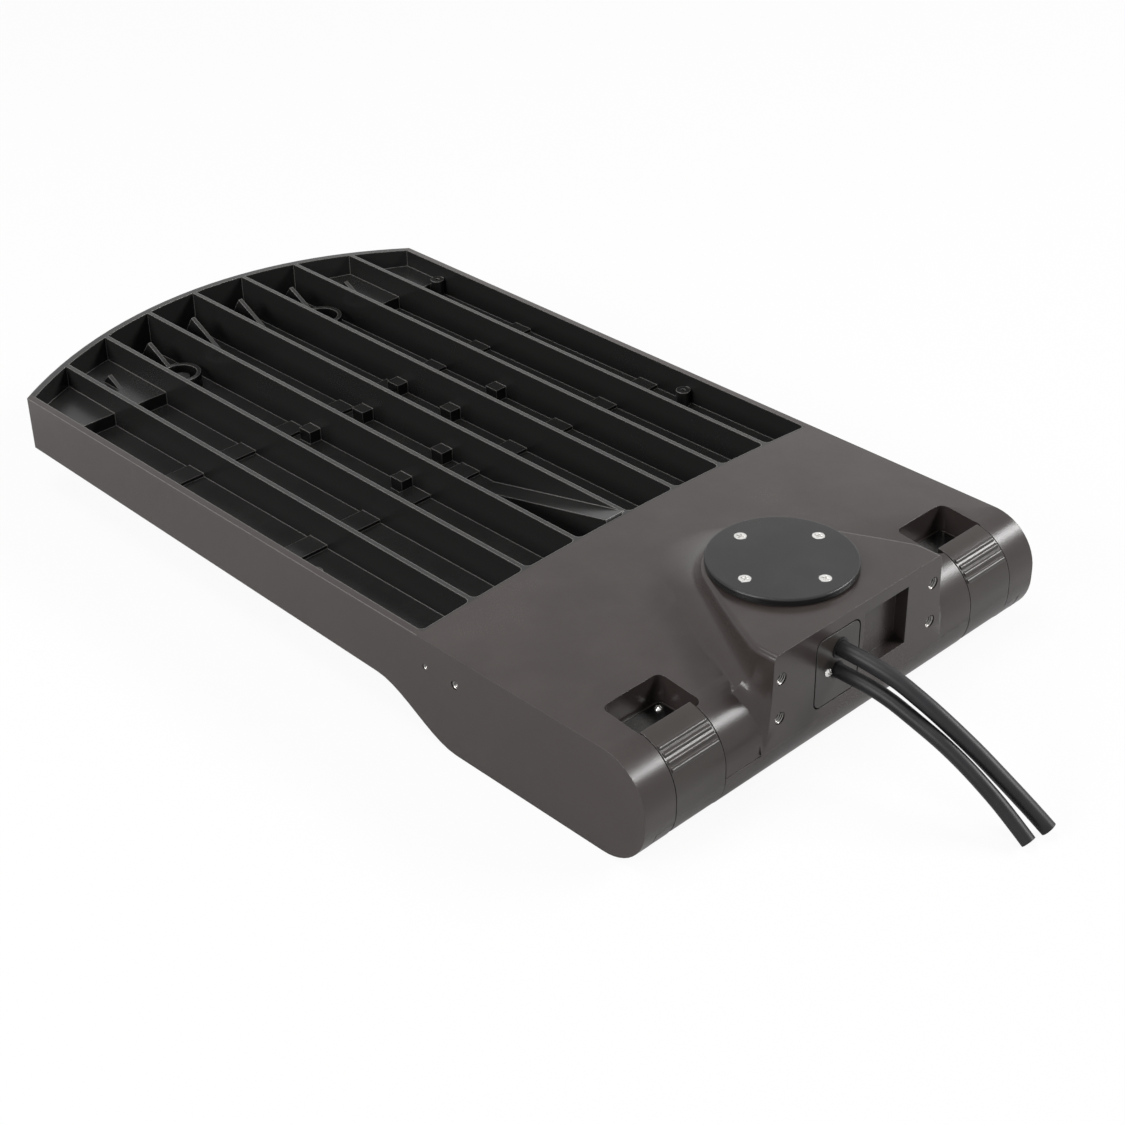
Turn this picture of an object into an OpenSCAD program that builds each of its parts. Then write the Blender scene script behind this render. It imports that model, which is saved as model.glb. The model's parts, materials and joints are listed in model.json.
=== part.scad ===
// Pole-mounted LED area light: a finned die casting whose driver box has a hinged
// door with two end latches, and a boss with threaded holes and a round cover.
// It lies level, lens side down. X runs across it and +Y points at its tip.

/* [Casting] */
// Width across the side walls
body_w = 340; // [336:1:348]
// Length of the side walls, from the rear face to the front arc
side_len = 581; // [577:1:590]
// How far the front arc stands past the side walls
tip_len = 47; // [40:1:54]
// Height of the side walls
side_h = 69; // [68:0.5:71]
// Rise of the crowned top above the side walls
crown_h = 6.5; // [5.5:0.5:8]
// Radius of the rear rounding
rear_r = 31; // [30:0.5:32]
// Thickness of the walls round the fins
wall_t = 4.7; // [4:0.1:5.5]
// Height of the underside at the rear of the LED section
led_low = 25; // [24:0.5:26]
// Height of the underside at the tip
tip_low = 31; // [30:0.5:31.5]

/* [Fins] */
// Number of fins
fin_n = 7; // [5:2:7]
// Spacing of the fins
fin_pitch = 42.2; // [41:0.1:43]
// Thickness of a fin
fin_t = 3; // [2:0.25:4]
// Rear edge of the fin pockets, from the rear face
pocket_y = 180.7; // [179:0.5:185]
// Height of the pocket floors at their rear
floor_rear = 50; // [49:0.5:52]
// Height of the pocket floors at the tip
floor_tip = 46; // [45:0.5:48]

/* [Boss] */
// Height of the mounting boss's flat top
boss_top = 93.5; // [92:0.5:96]
// Distance of the round cover's centre from the rear face
cap_y = 58; // [57:0.5:59]
// Diameter of the round cover
cap_d = 88.5; // [85:0.5:91]
// Thickness of the round cover
cap_t = 3.7; // [3:0.1:5]
// Thickness of the gasket under the cover
cap_gasket_t = 1.2; // [0.8:0.1:2]
// Radius of the circle of cover screws
cap_screw_r = 31.7; // [31:0.1:33]
// Spacing of the mounting holes across the boss
mount_dx = 131.8; // [128:0.2:133]
// Spacing of the mounting holes up the boss
mount_dz = 26.2; // [25:0.2:27]
// Height of the lower mounting holes
mount_z = 50; // [49:0.5:51]
// Diameter of the threaded mounting holes
mount_d = 8; // [6:0.2:8.6]
// Depth of the threaded mounting holes
mount_depth = 13; // [10:0.5:14]

/* [Cable Plate] */
// Width of the cable plate
plate_w = 36; // [34:0.5:37]
// Height of the cable plate
plate_h = 44.8; // [43:0.5:46]
// Thickness of the cable plate
plate_t = 3; // [2.5:0.1:4]
// Diameter of the power cable
power_d = 9.6; // [9:0.1:9.8]
// Diameter of the dimming cable
dim_d = 8.8; // [8:0.1:9]

/* [Door] */
// Thickness of the casting's cheeks beside the door
cheek_t = 9.7; // [9.7:0.1:11]
// Gap between the door and the casting
door_gap = 0.6; // [0.35:0.05:0.6]
// Thickness of the door's skin
skin_t = 4; // [3:0.25:4.5]
// Distance of the hinge axis from the rear face
hinge_y = 206; // [205.5:0.25:206.5]
// Height of the hinge axis
hinge_z = 30; // [29.5:0.25:30.5]
// Diameter of the hinge pins
hinge_d = 5; // [4:0.25:6]
// Diameter of the latch pins
latch_pin_d = 4; // [3:0.25:5]
// Thickness of a latch
latch_t = 5; // [4:0.25:6]
// Width of a latch
latch_w = 38; // [36:0.5:39]
// Distance of a latch's outer end from the side wall
latch_edge = 24; // [23:0.5:27]

/* [LED Modules] */
// Length of a lens module along the light
mod_l = 114; // [108:1:115]
// Width of a lens module
mod_w = 152; // [146:1:153]
// Gap between neighbouring modules
mod_gap = 2; // [1:0.5:3]
// Thickness of a lens plate
lens_t = 3; // [2.5:0.1:3.5]

/* [Gear] */
// Length of the driver
driver_l = 240; // [220:1:242]
// Width of the driver
driver_w = 67; // [60:1:68]
// Height of the driver
driver_h = 38; // [30:1:40]
// Thickness of the gear tray
tray_t = 1.5; // [1:0.1:2]

/* [Hidden] */

round_fn = 96;
run = 0.05;
half_w = body_w / 2;
body_len = side_len + tip_len;
screw_stand = 2.2;
shift_y = -(body_len - screw_stand) / 2;

// Rear rounding: two arcs about points rear_set behind the boss's rear face
rear_set = 1;
rear_y = rear_set + rear_r;
rear_up = side_h - rear_r;

// Front arc through the ends of the side walls and the tip
arc_r = (half_w * half_w + tip_len * tip_len) / (2 * tip_len);
arc_y = body_len - arc_r;
front_fillet = 5.6;

// Ramp between the driver box and the LED section
ramp_y0 = 150;
ramp_y1 = 218;
ramp_steps = 10;
function ramp_z(y, rise) = rise * smooth_step((y - ramp_y0) / (ramp_y1 - ramp_y0));
function ramp_points(low, rise) =
    [for (i = [0:ramp_steps]) let (y = ramp_y0 + (ramp_y1 - ramp_y0) * i / ramp_steps)
        [y, low + ramp_z(y, rise)]];

// Crowned top: a cylinder along the light, cut back by a shallow slope behind the rounding
crown_over = 5;
crown_y1 = 100;
crown_sink = 0.05;
crown_r = (half_w * half_w + crown_h * crown_h) / (2 * crown_h);
sky = side_h + 20;
function smooth_step(t) = let (c = min(1, max(0, t))) c * c * (3 - 2 * c);
function crown_arch(x) = side_h + crown_h - crown_r + sqrt(crown_r * crown_r - x * x);
function crown_slope(y) = side_h - crown_sink + crown_h * (y - rear_y) / (crown_y1 - rear_y);
function top_z(x, y) = y < rear_y
    ? rear_up + sqrt(rear_r * rear_r - pow(rear_y - y, 2))
    : min(crown_arch(x), crown_slope(y));

// Fins and pockets
pocket_r = 4;
fins_mid = (fin_n - 1) / 2;
floor_slope = (floor_rear - floor_tip) / (body_len - pocket_y);
function floor_z(y) = floor_rear - floor_slope * (y - pocket_y);
function pocket_x(p) = (p - fins_mid - 0.5) * fin_pitch;
band_h = 2.4;
bands_y = [[313, 330], [441, 457]];
pad_h = 8.8;
pad_l = 11;
pad_w = 9;
pads = [[2, 336], [2, 430], [3, 345], [3, 426], [4, 384], [4, 439], [5, 384]];
gusset_t = 3;
gusset_foot = 546;
gusset_slope = 0.49;
gusset_set = 28;
gusset_back = 18;
ledge_y = 541.5;
ledge_h = 9.5;
function wall_y(x) = arc_y + sqrt(pow(arc_r - wall_t / 2, 2) - pow(abs(x) + gusset_t, 2));
collar_y = 556;
collar_r = 14.5;
collar_bore = 11.5;
collar_top = 58;
collar_dx = 1.5 * fin_pitch;
wall_boss_r = 5;
wall_boss_y = [284, 538];
wall_boss_top = 9;

// Wire duct: a ramp beside the middle fin with a channel under it
duct_w = 14.5;
duct_foot = 299;
duct_head = 185;
duct_slope = 0.235;
duct_wall = 3;
function duct_z(y) = floor_z(duct_foot) + duct_slope * (duct_foot - y);
channel_w = 9;
channel_x = -fin_t / 2 - duct_wall - channel_w;
channel_z0 = 46;
channel_z1 = 60;

// Mounting boss: a tapered block whose sides run out in a concave sweep
boss_half = 72.5;
boss_side = 17;
boss_nose_r = 47;
foot_half = 80;
foot_side = 86;
foot_nose_y = 105;
foot_nose_r = 42;
boss_low = 31.6;
boss_steps = 8;
nose_steps = 16;
side_steps = 3;
corner_shares = [0, 0.1, 0.2, 0.4, 0.7];
boss_sink = 0.3;
boss_edge_r = 4;
edge_steps = 3;

// Round cover, its screws and the socket well under it
deck_t = 5;
well_r = 27;
cavity_r = 38;
cavity_half = 44;
cavity_y = 14;
cavity_z = 60;
m4_r = 2;
m4_head_r = 3.7;
m4_head_h = 2.2;
cap_screw_l = 12;
cap_seat_r = 4.6;
cap_seat_l = 8;
cap_top = boss_top + cap_gasket_t + cap_t;

// Driver box, its door and the latches' places
cheek_gap = 0.7;
latch_out = half_w - latch_edge;
latch_in = latch_out - latch_w;
latch_side_gap = 0.6;
box_roof = 64;
seal_out = latch_out - 2.7;
seal_in = latch_in - 5;
seal_y0 = 33;
seal_y1 = 9;
seal_y2 = 172;
land_w = 8;
parting_z = 31.3;
corner_z = 22.4;
corner_x = latch_out + latch_side_gap;
bay_half = half_w - cheek_t;
door_half = bay_half - cheek_gap;
bay_top = 41;
bay_y = 176;
bay_mid = 190;
bay_r = 10.1;
knuckle_r = 9.7;
knuckle_core_r = 6;
knuckle_in = 120;
knuckle_y = bay_mid + 4;

// Latches: each turns on a pin in the door and its tip lies in a finger recess
latch_drop = 16;
latch_py = rear_y - latch_drop;
latch_pz = rear_r - latch_drop;
latch_knuckle_r = 8.1;
latch_tip_y = 28;
alcove_y = 28.5;
alcove_in = latch_in - latch_side_gap;
alcove_out = latch_out + latch_side_gap;
ear_t = 4;
latch_rib_r = 1.8;
latch_rib_angles = [122, 130.5, 139, 147.5];
recess_in = latch_in - 5.5;
recess_out = latch_out + 1.5;
recess_y = 56;
recess_z = 52.5;
recess_r = 5;
recess_wall = 5;
keeper_t = 0.8;
keeper_y = 29;
keeper_h = 9;
keeper_screw_x = latch_in + 1;
keeper_screw_y = 50;
m3_r = 1.5;
m3_head_r = 2.8;
m3_head_h = 1.8;
keeper_screw_l = 6;

// Cable plate and what passes through it
plate_x = -18.5;
plate_z = 62;
plate_r = 5;
plate_slot = 1;
plate_gasket_t = 1.5;
power_x = -16.6;
power_z = 72.4;
dim_x = -18.4;
dim_z = 58.6;
bush_t = 0.8;
bush_lip = 0.8;
bush_stand = 0.7;
pass_gap = 0.6;
gland_screw_x = -26.5;
gland_screw_z = 60.6;
gland_head_r = 2.7;
gland_shank_r = 1.75;
gland_screw_l = 12;
rear_recess = [3.5, 42.5, 46.5, 85];
rear_recess_d = 8.5;
cable_sides = 10;
cable_in = 20;

// Threaded side holes for an accessory bracket
side_hole_z = 50;
side_holes = [[173.7, 2.1], [148.6, 3]];
side_hole_l = 9;

// Free cables: points along each, from inside the box to the cut end
power_route = [[-16.6, 20, 72.4], [-16.6, -6, 72.4], [-15.8, -16, 71.6], [-14.2, -27, 69.4],
    [-12.2, -38, 66], [-10.4, -48, 61.4], [-8.4, -58, 56.2], [-6.4, -68, 50.4], [-4.4, -78, 44.2],
    [-2.2, -88, 37.4], [0, -98, 30], [2.4, -108, 22.2], [5, -118, 14], [8, -129, 4.4]];
dim_route = [[-18.4, 20, 58.6], [-18.4, -6, 58.6], [-18.2, -16, 58.4], [-17.4, -27, 57.2],
    [-16.4, -38, 54.6], [-15.6, -48, 51.2], [-14.8, -58, 47.6], [-14, -68, 43.8], [-13, -78, 39],
    [-12, -88, 33.4], [-11, -98, 27], [-10, -108, 20], [-9, -118, 12], [-8.2, -127.5, 4.2]];

// LED section: a recess under the casting with a level ceiling
led_ceiling = 40;
led_y = 224;
led_rows = 3;
led_cols = 2;
led_edge = 2;
led_margin = 1.5;
board_t = 1.6;
lens_gasket_t = 1;
gasket_edge = 4;
dome_n = 6;
dome_m = 4;
dome_r = 7;
dome_h = 2.4;
chip = 3;
chip_h = 0.7;
screw_inset = 6;
lens_screw_l = 10;
led_x = led_cols * mod_w / 2 + (led_cols - 1) * mod_gap / 2 + led_edge;
led_end = led_y + led_rows * mod_l + (led_rows - 1) * mod_gap;
board_z = led_ceiling - board_t;
gasket_z = board_z - lens_gasket_t;
lens_z = gasket_z - lens_t;

// Gear in the driver box
tray_z = 60;
tray_y0 = 64;
tray_y1 = 162;
gear_seat_r = 6;
tray_screws_x = driver_l / 2 + 8;
tray_screws_y = [70, 156];
tray_half = tray_screws_x + gear_seat_r;
driver_y = 94;
driver_foot = 12;
driver_foot_t = 3;
surge_size = [48, 26, 30];
surge_at = [74, 66];
block_size = [45, 22, 20];
block_at = [-58, 65];
ground_x = -112;
ground_y = 76;
grommet_l = 8;
seal_t = 2.7;
seal_gap = 0.3;
lead_r = 1.2;
lead_sides = 8;

// Puts a part drawn from the rear face into the frame centred on the light
module place() {
    translate([0, shift_y, 0]) children();
}

// Extrudes a side view, drawn with Y then Z, to both sides of the middle
module along_x(w) {
    rotate([90, 0, 90]) linear_extrude(w, center = true) children();
}

// Draws its children on the right and again mirrored on the left
module both_sides() {
    children();
    mirror([1, 0, 0]) children();
}

// A box given by its lowest and highest corners
module block(low, high) {
    translate(low) cube(high - low);
}

// A cylinder along Y from y0 to y1
module rod_y(x, z, y0, y1, r) {
    translate([x, y1, z]) rotate([90, 0, 0]) cylinder(h = y1 - y0, r = r, $fn = round_fn);
}

// A cylinder along X from x0 to x1
module rod_x(y, z, x0, x1, r) {
    translate([x0, y, z]) rotate([0, 90, 0]) cylinder(h = x1 - x0, r = r, $fn = round_fn);
}

// A rectangle with round corners, centred
module round_rect(w, h, r) {
    square([w - 2 * r, h], center = true);
    square([w, h - 2 * r], center = true);
    for (x = [-1, 1], z = [-1, 1])
        translate([x * (w / 2 - r), z * (h / 2 - r)]) circle(r = r, $fn = round_fn);
}

// A cross slot as deep as a driver bit reaches
module cross_slot(r, depth) {
    for (a = [0, 90])
        rotate([0, 0, a]) translate([-r, -r / 4, -depth]) cube([2 * r, r / 2, 2 * depth]);
}

// A countersunk screw that points down, with its head's face at z = 0
module flat_screw(r, head_r, head_h, l) {
    difference() {
        union() {
            translate([0, 0, -head_h]) cylinder(h = head_h, r1 = r, r2 = head_r, $fn = round_fn);
            translate([0, 0, -l]) cylinder(h = l - head_h / 2, r = r, $fn = round_fn);
        }
        cross_slot(head_r * 0.62, head_h * 0.6);
    }
}

// A pan head screw that points down, with its seat at z = 0
module pan_screw(r, head_r, head_h, l) {
    difference() {
        union() {
            rotate_extrude($fn = round_fn) intersection() {
                translate([0, head_h - head_r * 1.1]) circle(r = head_r * 1.1, $fn = round_fn);
                square([head_r, head_h]);
            }
            translate([0, 0, -l]) cylinder(h = l + head_h / 4, r = r, $fn = round_fn);
        }
        translate([0, 0, head_h]) cross_slot(head_r * 0.62, head_h * 0.6);
    }
}

// A tube swept along points, square to the path at its ends
function unit(v) = v / norm(v);
function heading(p, i) = unit(p[min(i + 1, len(p) - 1)] - p[max(i - 1, 0)]);
function ring(c, t, r, n, up) =
    let (side = unit(cross(t, up)), rise = cross(side, t))
    [for (k = [0:n - 1]) c + r * cos(360 * k / n) * side + r * sin(360 * k / n) * rise];
module tube(p, r, n, up = [0, 0, 1]) {
    last = len(p) - 1;
    points = [for (i = [0:last]) each ring(p[i], heading(p, i), r, n, up)];
    sides = [for (i = [0:last - 1], k = [0:n - 1])
        let (a = i * n + k, b = i * n + (k + 1) % n)
        each [[a, b, b + n], [a, b + n, a + n]]];
    near = [[for (k = [n - 1:-1:0]) k]];
    far = [[for (k = [0:n - 1]) last * n + k]];
    polyhedron(points = points, faces = concat(near, sides, far));
}

// Outline of the housing from above, drawn in by an inset
module plan2d(inset) {
    intersection() {
        translate([-half_w + inset, -rear_set]) square([body_w - 2 * inset, body_len + 2]);
        union() {
            translate([-half_w, -rear_set]) square([body_w, side_len - inset]);
            translate([0, arc_y]) circle(r = arc_r - inset, $fn = 720);
        }
    }
}

// Side view of the rear rounding, drawn in by an inset
module rounding2d(inset) {
    r = rear_r - inset;
    translate([rear_y, rear_up]) circle(r = r, $fn = 180);
    translate([rear_y, rear_r]) circle(r = r, $fn = 180);
    translate([rear_y - r, rear_r]) square([r, rear_up - rear_r]);
    translate([rear_y, inset]) square([r, side_h - 2 * inset]);
}

// Side view of the whole casting with the door shut, left tall under the crown
module side2d() {
    rounding2d(0);
    polygon(concat([[rear_y, sky], [rear_y, 0]], ramp_points(0, led_low),
        [[side_len, tip_low], [body_len, tip_low], [body_len, sky]]));
}

// Plan limit of the casting, with the front's lower edge rounded
module front_limit() {
    block([-half_w, -rear_set, -1], [half_w, side_len, sky + 1]);
    low = tip_low - front_fillet / 8;
    intersection() {
        translate([0, arc_y, low]) rotate_extrude($fn = 720) {
            square([arc_r - front_fillet, side_h]);
            translate([arc_r - front_fillet, front_fillet]) circle(r = front_fillet, $fn = round_fn);
            translate([0, front_fillet]) square([arc_r, side_h]);
        }
        block([-half_w, arc_y, 0], [half_w, body_len + 1, sky + 1]);
    }
}

// Everything under the crowned top
module under_crown() {
    ahead = crown_y1 + crown_over * 8;
    intersection() {
        translate([0, -crown_over, side_h + crown_h - crown_r]) rotate([-90, 0, 0])
            cylinder(h = body_len + 2 * crown_over, r = crown_r, $fn = 1440);
        along_x(body_w + 2 * crown_over) polygon([[-crown_over, -crown_over], [-crown_over, side_h - crown_sink],
            [rear_y, side_h - crown_sink], [ahead, crown_slope(ahead)], [ahead, sky + crown_over],
            [body_len + crown_over, sky + crown_over], [body_len + crown_over, -crown_over]]);
    }
}

// Pockets between the fins, open at the top
module pockets() {
    intersection() {
        translate([0, 0, floor_tip - 5]) linear_extrude(side_h) intersection() {
            plan2d(wall_t);
            for (p = [0:fin_n]) {
                x0 = p == 0 ? -half_w + wall_t : pocket_x(p) - (fin_pitch - fin_t) / 2;
                x1 = p == fin_n ? half_w - wall_t : pocket_x(p) + (fin_pitch - fin_t) / 2;
                translate([x0 + pocket_r, pocket_y]) square([x1 - x0 - 2 * pocket_r, body_len]);
                translate([x0, pocket_y + pocket_r]) square([x1 - x0, body_len]);
                for (x = [x0 + pocket_r, x1 - pocket_r])
                    translate([x, pocket_y + pocket_r]) circle(r = pocket_r, $fn = round_fn);
            }
        }
        along_x(body_w) polygon([[pocket_y - 1, floor_z(pocket_y - 1)], [body_len + 1, floor_z(body_len + 1)],
            [body_len + 1, 2 * side_h], [pocket_y - 1, 2 * side_h]]);
    }
}

// Raised bands, pads, collars, buttresses, front ledges and the duct on the pocket floors
module floor_details() {
    sink = 1;
    for (b = bands_y)
        along_x(body_w - 2 * wall_t + 1)
            polygon([[b[0], floor_z(b[0]) - sink], [b[0], floor_z(b[0]) + band_h],
                [b[1], floor_z(b[1]) + band_h], [b[1], floor_z(b[1]) - sink]]);
    for (p = pads) {
        x = pocket_x(p[0]) + (fin_pitch - fin_t) / 2 - pad_w / 2;
        block([x - pad_w / 2, p[1] - pad_l / 2, floor_z(p[1]) - sink],
            [x + pad_w / 2 + 1, p[1] + pad_l / 2, floor_z(p[1]) + pad_h]);
    }
    for (x = [-collar_dx, collar_dx])
        translate([x, collar_y, floor_z(collar_y) - sink])
            cylinder(h = collar_top - floor_z(collar_y) + sink, r = collar_r, $fn = round_fn);
    for (p = [1:fin_n - 1]) if (abs(pocket_x(p)) < half_w - fin_pitch)
        translate([pocket_x(p), 0, 0]) along_x(gusset_t)
            let (peak = wall_y(pocket_x(p)) - gusset_set)
                polygon([[gusset_foot, floor_z(gusset_foot) - sink],
                    [peak, floor_z(gusset_foot) + gusset_slope * (peak - gusset_foot)],
                    [peak + gusset_back, floor_tip - sink]]);
    intersection() {
        both_sides() block([-pocket_x(1) - (fin_pitch - fin_t) / 2 - 1, ledge_y, floor_tip - sink],
            [half_w, body_len, floor_z(ledge_y) + ledge_h]);
        linear_extrude(side_h) plan2d(wall_t / 2);
    }
    for (y = wall_boss_y)
        both_sides() translate([half_w - wall_t - wall_boss_r, y, floor_tip])
            cylinder(h = side_h - floor_tip - wall_boss_top, r = wall_boss_r, $fn = round_fn);
    toe = duct_foot + 3;
    translate([-fin_t / 2 - duct_w / 2 + 0.5, 0, 0]) along_x(duct_w + 1)
        polygon([[toe, duct_z(toe)], [duct_head - 2, duct_z(duct_head - 2)], [duct_head - 6, side_h],
            [duct_head - 6, floor_rear - sink], [toe, floor_z(toe) - sink]]);
}

// Points round one half of the boss from its rear corner to its nose
function nose_angle(px, py, cy, r) = atan2(py - cy, px) + acos(r / norm([px, py - cy]));
function half_outline(rear, side, side_y, cy, r, bulge) =
    let (a = nose_angle(side, side_y, cy, r), from = [side, side_y], to = [r * cos(a), cy + r * sin(a)],
        out = unit([to[1] - from[1], from[0] - to[0]]))
    concat([for (t = corner_shares) [rear + (side - rear) * t + bulge * sin(180 * t) / 2, side_y * t]],
        [for (i = [0:side_steps - 1]) let (t = i / side_steps)
            from + (to - from) * t + out * bulge * sin(180 * t)],
        [for (i = [0:nose_steps / 2]) let (b = a + (90 - a) * i / (nose_steps / 2))
            [r * cos(b), cy + r * sin(b)]]);
boss_line = half_outline(boss_half, boss_half, boss_side, cap_y, boss_nose_r, 0.8);
foot_line = half_outline(foot_half, foot_side, boss_side + 3, foot_nose_y, foot_nose_r, 2);
boss_count = len(boss_line);
function foot_z(i) = i == 0 ? boss_low : top_z(foot_line[i][0], foot_line[i][1]) - boss_sink;
function boss_point(i, t) =
    let (s = t * 90, p = boss_line[i] + (foot_line[i] - boss_line[i]) * (1 - cos(s)))
    [p[0], p[1], boss_top - boss_edge_r - (boss_top - boss_edge_r - foot_z(i)) * sin(s)];
function edge_point(i, t) =
    let (p = boss_line[i], c = [0, p[1] == 0 ? 0 : boss_side], in = boss_edge_r * (1 - sin(t * 90)))
    [each p - unit(p - c) * in, boss_top - boss_edge_r * (1 - cos(t * 90))];
function skirt_point(i) = i == 0
    ? [foot_line[0][0] - 5, 4, boss_low]
    : [foot_line[i][0] * 0.9, max(12, foot_line[i][1] - 8), foot_z(i) - 8];
function mirrored(p) = [-p[0], p[1], p[2]];
function full_ring(half) = concat(half, [for (i = [boss_count - 2:-1:0]) mirrored(half[i])]);
boss_rings = concat(
    [for (j = [0:edge_steps - 1]) full_ring([for (i = [0:boss_count - 1]) edge_point(i, j / edge_steps)])],
    [for (j = [0:boss_steps]) full_ring([for (i = [0:boss_count - 1]) boss_point(i, j / boss_steps)])],
    [full_ring([for (i = [0:boss_count - 1]) skirt_point(i)])]);

// The mounting boss as one swept solid
module boss() {
    n = 2 * boss_count - 1;
    rings = len(boss_rings);
    points = concat([for (r = boss_rings) each r], [[0, 30, boss_low + 4]]);
    top = [[for (k = [n - 1:-1:0]) k]];
    sides = [for (j = [0:rings - 2], k = [0:n - 1])
        let (a = j * n + k, b = j * n + (k + 1) % n)
        each [[a, b, b + n], [a, b + n, a + n]]];
    low = [for (k = [0:n - 1]) [(rings - 1) * n + k, (rings - 1) * n + (k + 1) % n, rings * n]];
    polyhedron(points = points, faces = concat(top, sides, low));
}

// Outline of the door seal, drawn in by an inset
module seal2d(inset) {
    translate([-seal_out + inset, seal_y0 + inset])
        square([2 * (seal_out - inset), seal_y2 - seal_y0 - 2 * inset]);
    translate([-seal_in + inset, seal_y1 + inset])
        square([2 * (seal_in - inset), seal_y2 - seal_y1 - 2 * inset]);
}

// Everything cut out of the casting under the driver box and its door
module box_cuts() {
    difference() {
        translate([0, 0, parting_z - 1]) linear_extrude(box_roof - parting_z + 1) seal2d(land_w);
        both_sides() block([recess_in - recess_wall, seal_y1, recess_z - recess_wall],
            [half_w, recess_y + recess_wall, box_roof + 1]);
        for (y = tray_screws_y)
            both_sides() translate([tray_screws_x, y, tray_z + tray_t])
                cylinder(h = box_roof, r = gear_seat_r, $fn = round_fn);
        translate([ground_x, ground_y, tray_z - 2]) cylinder(h = box_roof, r = gear_seat_r, $fn = round_fn);
    }
    block([-bay_half, -2, -1], [bay_half, bay_y + 2, corner_z]);
    block([-corner_x, -2, -1], [corner_x, bay_y + 2, parting_z]);
    block([-corner_x, bay_y, -1], [corner_x, bay_mid + 2, bay_top]);
    block([-bay_half, bay_y, -1], [bay_half, bay_mid + 2, corner_z]);
    block([-bay_half, bay_mid, -1], [bay_half, hinge_y, bay_top]);
    intersection() {
        rod_x(hinge_y, hinge_z, -bay_half, bay_half, bay_r);
        block([-bay_half, hinge_y - 1, -1], [bay_half, body_len, bay_top]);
    }
    block([-bay_half, hinge_y - 1, -1], [bay_half, hinge_y + sqrt(bay_r * bay_r - pow(hinge_z - led_low, 2)), led_low]);
    both_sides() rod_x(hinge_y, hinge_z, bay_half - 1, half_w - 4, hinge_d / 2 + run);
}

// Everything cut out of the boss
module boss_cuts() {
    for (x = [-mount_dx / 2, mount_dx / 2], z = [mount_z, mount_z + mount_dz])
        rod_y(x, z, -1, mount_depth, mount_d / 2);
    translate([0, cap_y, cavity_z - 1])
        cylinder(h = boss_top - deck_t - cavity_z + 1, r = cavity_r, $fn = round_fn);
    translate([0, cap_y, boss_top - deck_t - 1]) cylinder(h = deck_t + 2, r = well_r, $fn = round_fn);
    block([-cavity_half, cavity_y, cavity_z - 1], [cavity_half, cap_y, boss_top - deck_t - 2]);
    for (a = [0:90:270])
        translate([cap_screw_r * cos(a), cap_y + cap_screw_r * sin(a), boss_top - cap_screw_l])
            cylinder(h = cap_screw_l + 1, r = m4_r + run, $fn = round_fn);
    rod_y(power_x, power_z, -1, cavity_y + 1, power_d / 2 + bush_t + pass_gap);
    rod_y(dim_x, dim_z, -1, seal_y1 + land_w + 1, dim_d / 2 + bush_t + pass_gap);
    rod_y(gland_screw_x, gland_screw_z, -1, gland_screw_l, gland_shank_r + run);
    translate([plate_x, plate_t + plate_gasket_t, plate_z]) rotate([90, 0, 0])
        linear_extrude(plate_t + plate_gasket_t + 1)
            round_rect(plate_w + 2 * plate_slot, plate_h + 2 * plate_slot, plate_r + plate_slot);
    block([rear_recess[0], -1, rear_recess[2]], [rear_recess[1], rear_recess_d, rear_recess[3]]);
}

// Bosses that stand into the boss cavity and carry the cover screws
module cap_seats() {
    for (a = [0:90:270])
        translate([cap_screw_r * cos(a), cap_y + cap_screw_r * sin(a), boss_top - deck_t - cap_seat_l])
            cylinder(h = cap_seat_l + 1, r = cap_seat_r, $fn = round_fn);
}

// Everything cut out for the latches and the fingers
module latch_cuts() {
    both_sides() {
        block([alcove_in, -2, -1], [alcove_out, alcove_y, side_h + 10]);
        translate([(recess_in + recess_out) / 2, (alcove_y - recess_r + recess_y) / 2, recess_z])
            linear_extrude(side_h)
                round_rect(recess_out - recess_in, recess_y - alcove_y + recess_r, recess_r);
        translate([keeper_screw_x, keeper_screw_y, recess_z - keeper_screw_l])
            cylinder(h = keeper_screw_l + 1, r = m3_r + run, $fn = round_fn);
    }
}

// Everything cut out of the LED section
module led_cuts() {
    block([-led_x, led_y - led_edge, 0], [led_x, led_end + led_edge, led_ceiling]);
    difference() {
        translate([0, 0, 10]) linear_extrude(led_ceiling - 10) intersection() {
            plan2d(2 * wall_t);
            translate([-half_w, led_end + 3 * led_edge]) square([body_w, body_len]);
        }
        for (x = [-2:2]) translate([x * fin_pitch * 1.5, 0, 0])
            block([-fin_t / 2, led_end, 9], [fin_t / 2, body_len, led_ceiling + 1]);
    }
    modules() for (p = screw_spots()) translate([p[0], p[1], led_ceiling - 1])
        cylinder(h = lens_screw_l - board_t - lens_gasket_t - lens_t + 1, r = m3_r + run, $fn = round_fn);
}

// The duct's channel, from the LED recess back into the driver box
module channel() {
    translate([channel_x + channel_w / 2, 0, 0]) along_x(channel_w)
        polygon([[seal_y2 - land_w - 6, channel_z0], [seal_y2 - land_w - 6, channel_z1], [duct_head + 15, channel_z1],
            [duct_foot - 15, channel_z0 - 1], [duct_foot - 15, led_ceiling - 1], [led_y - led_edge + 1, led_ceiling - 1],
            [led_y - led_edge + 1, channel_z0]]);
}

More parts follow.
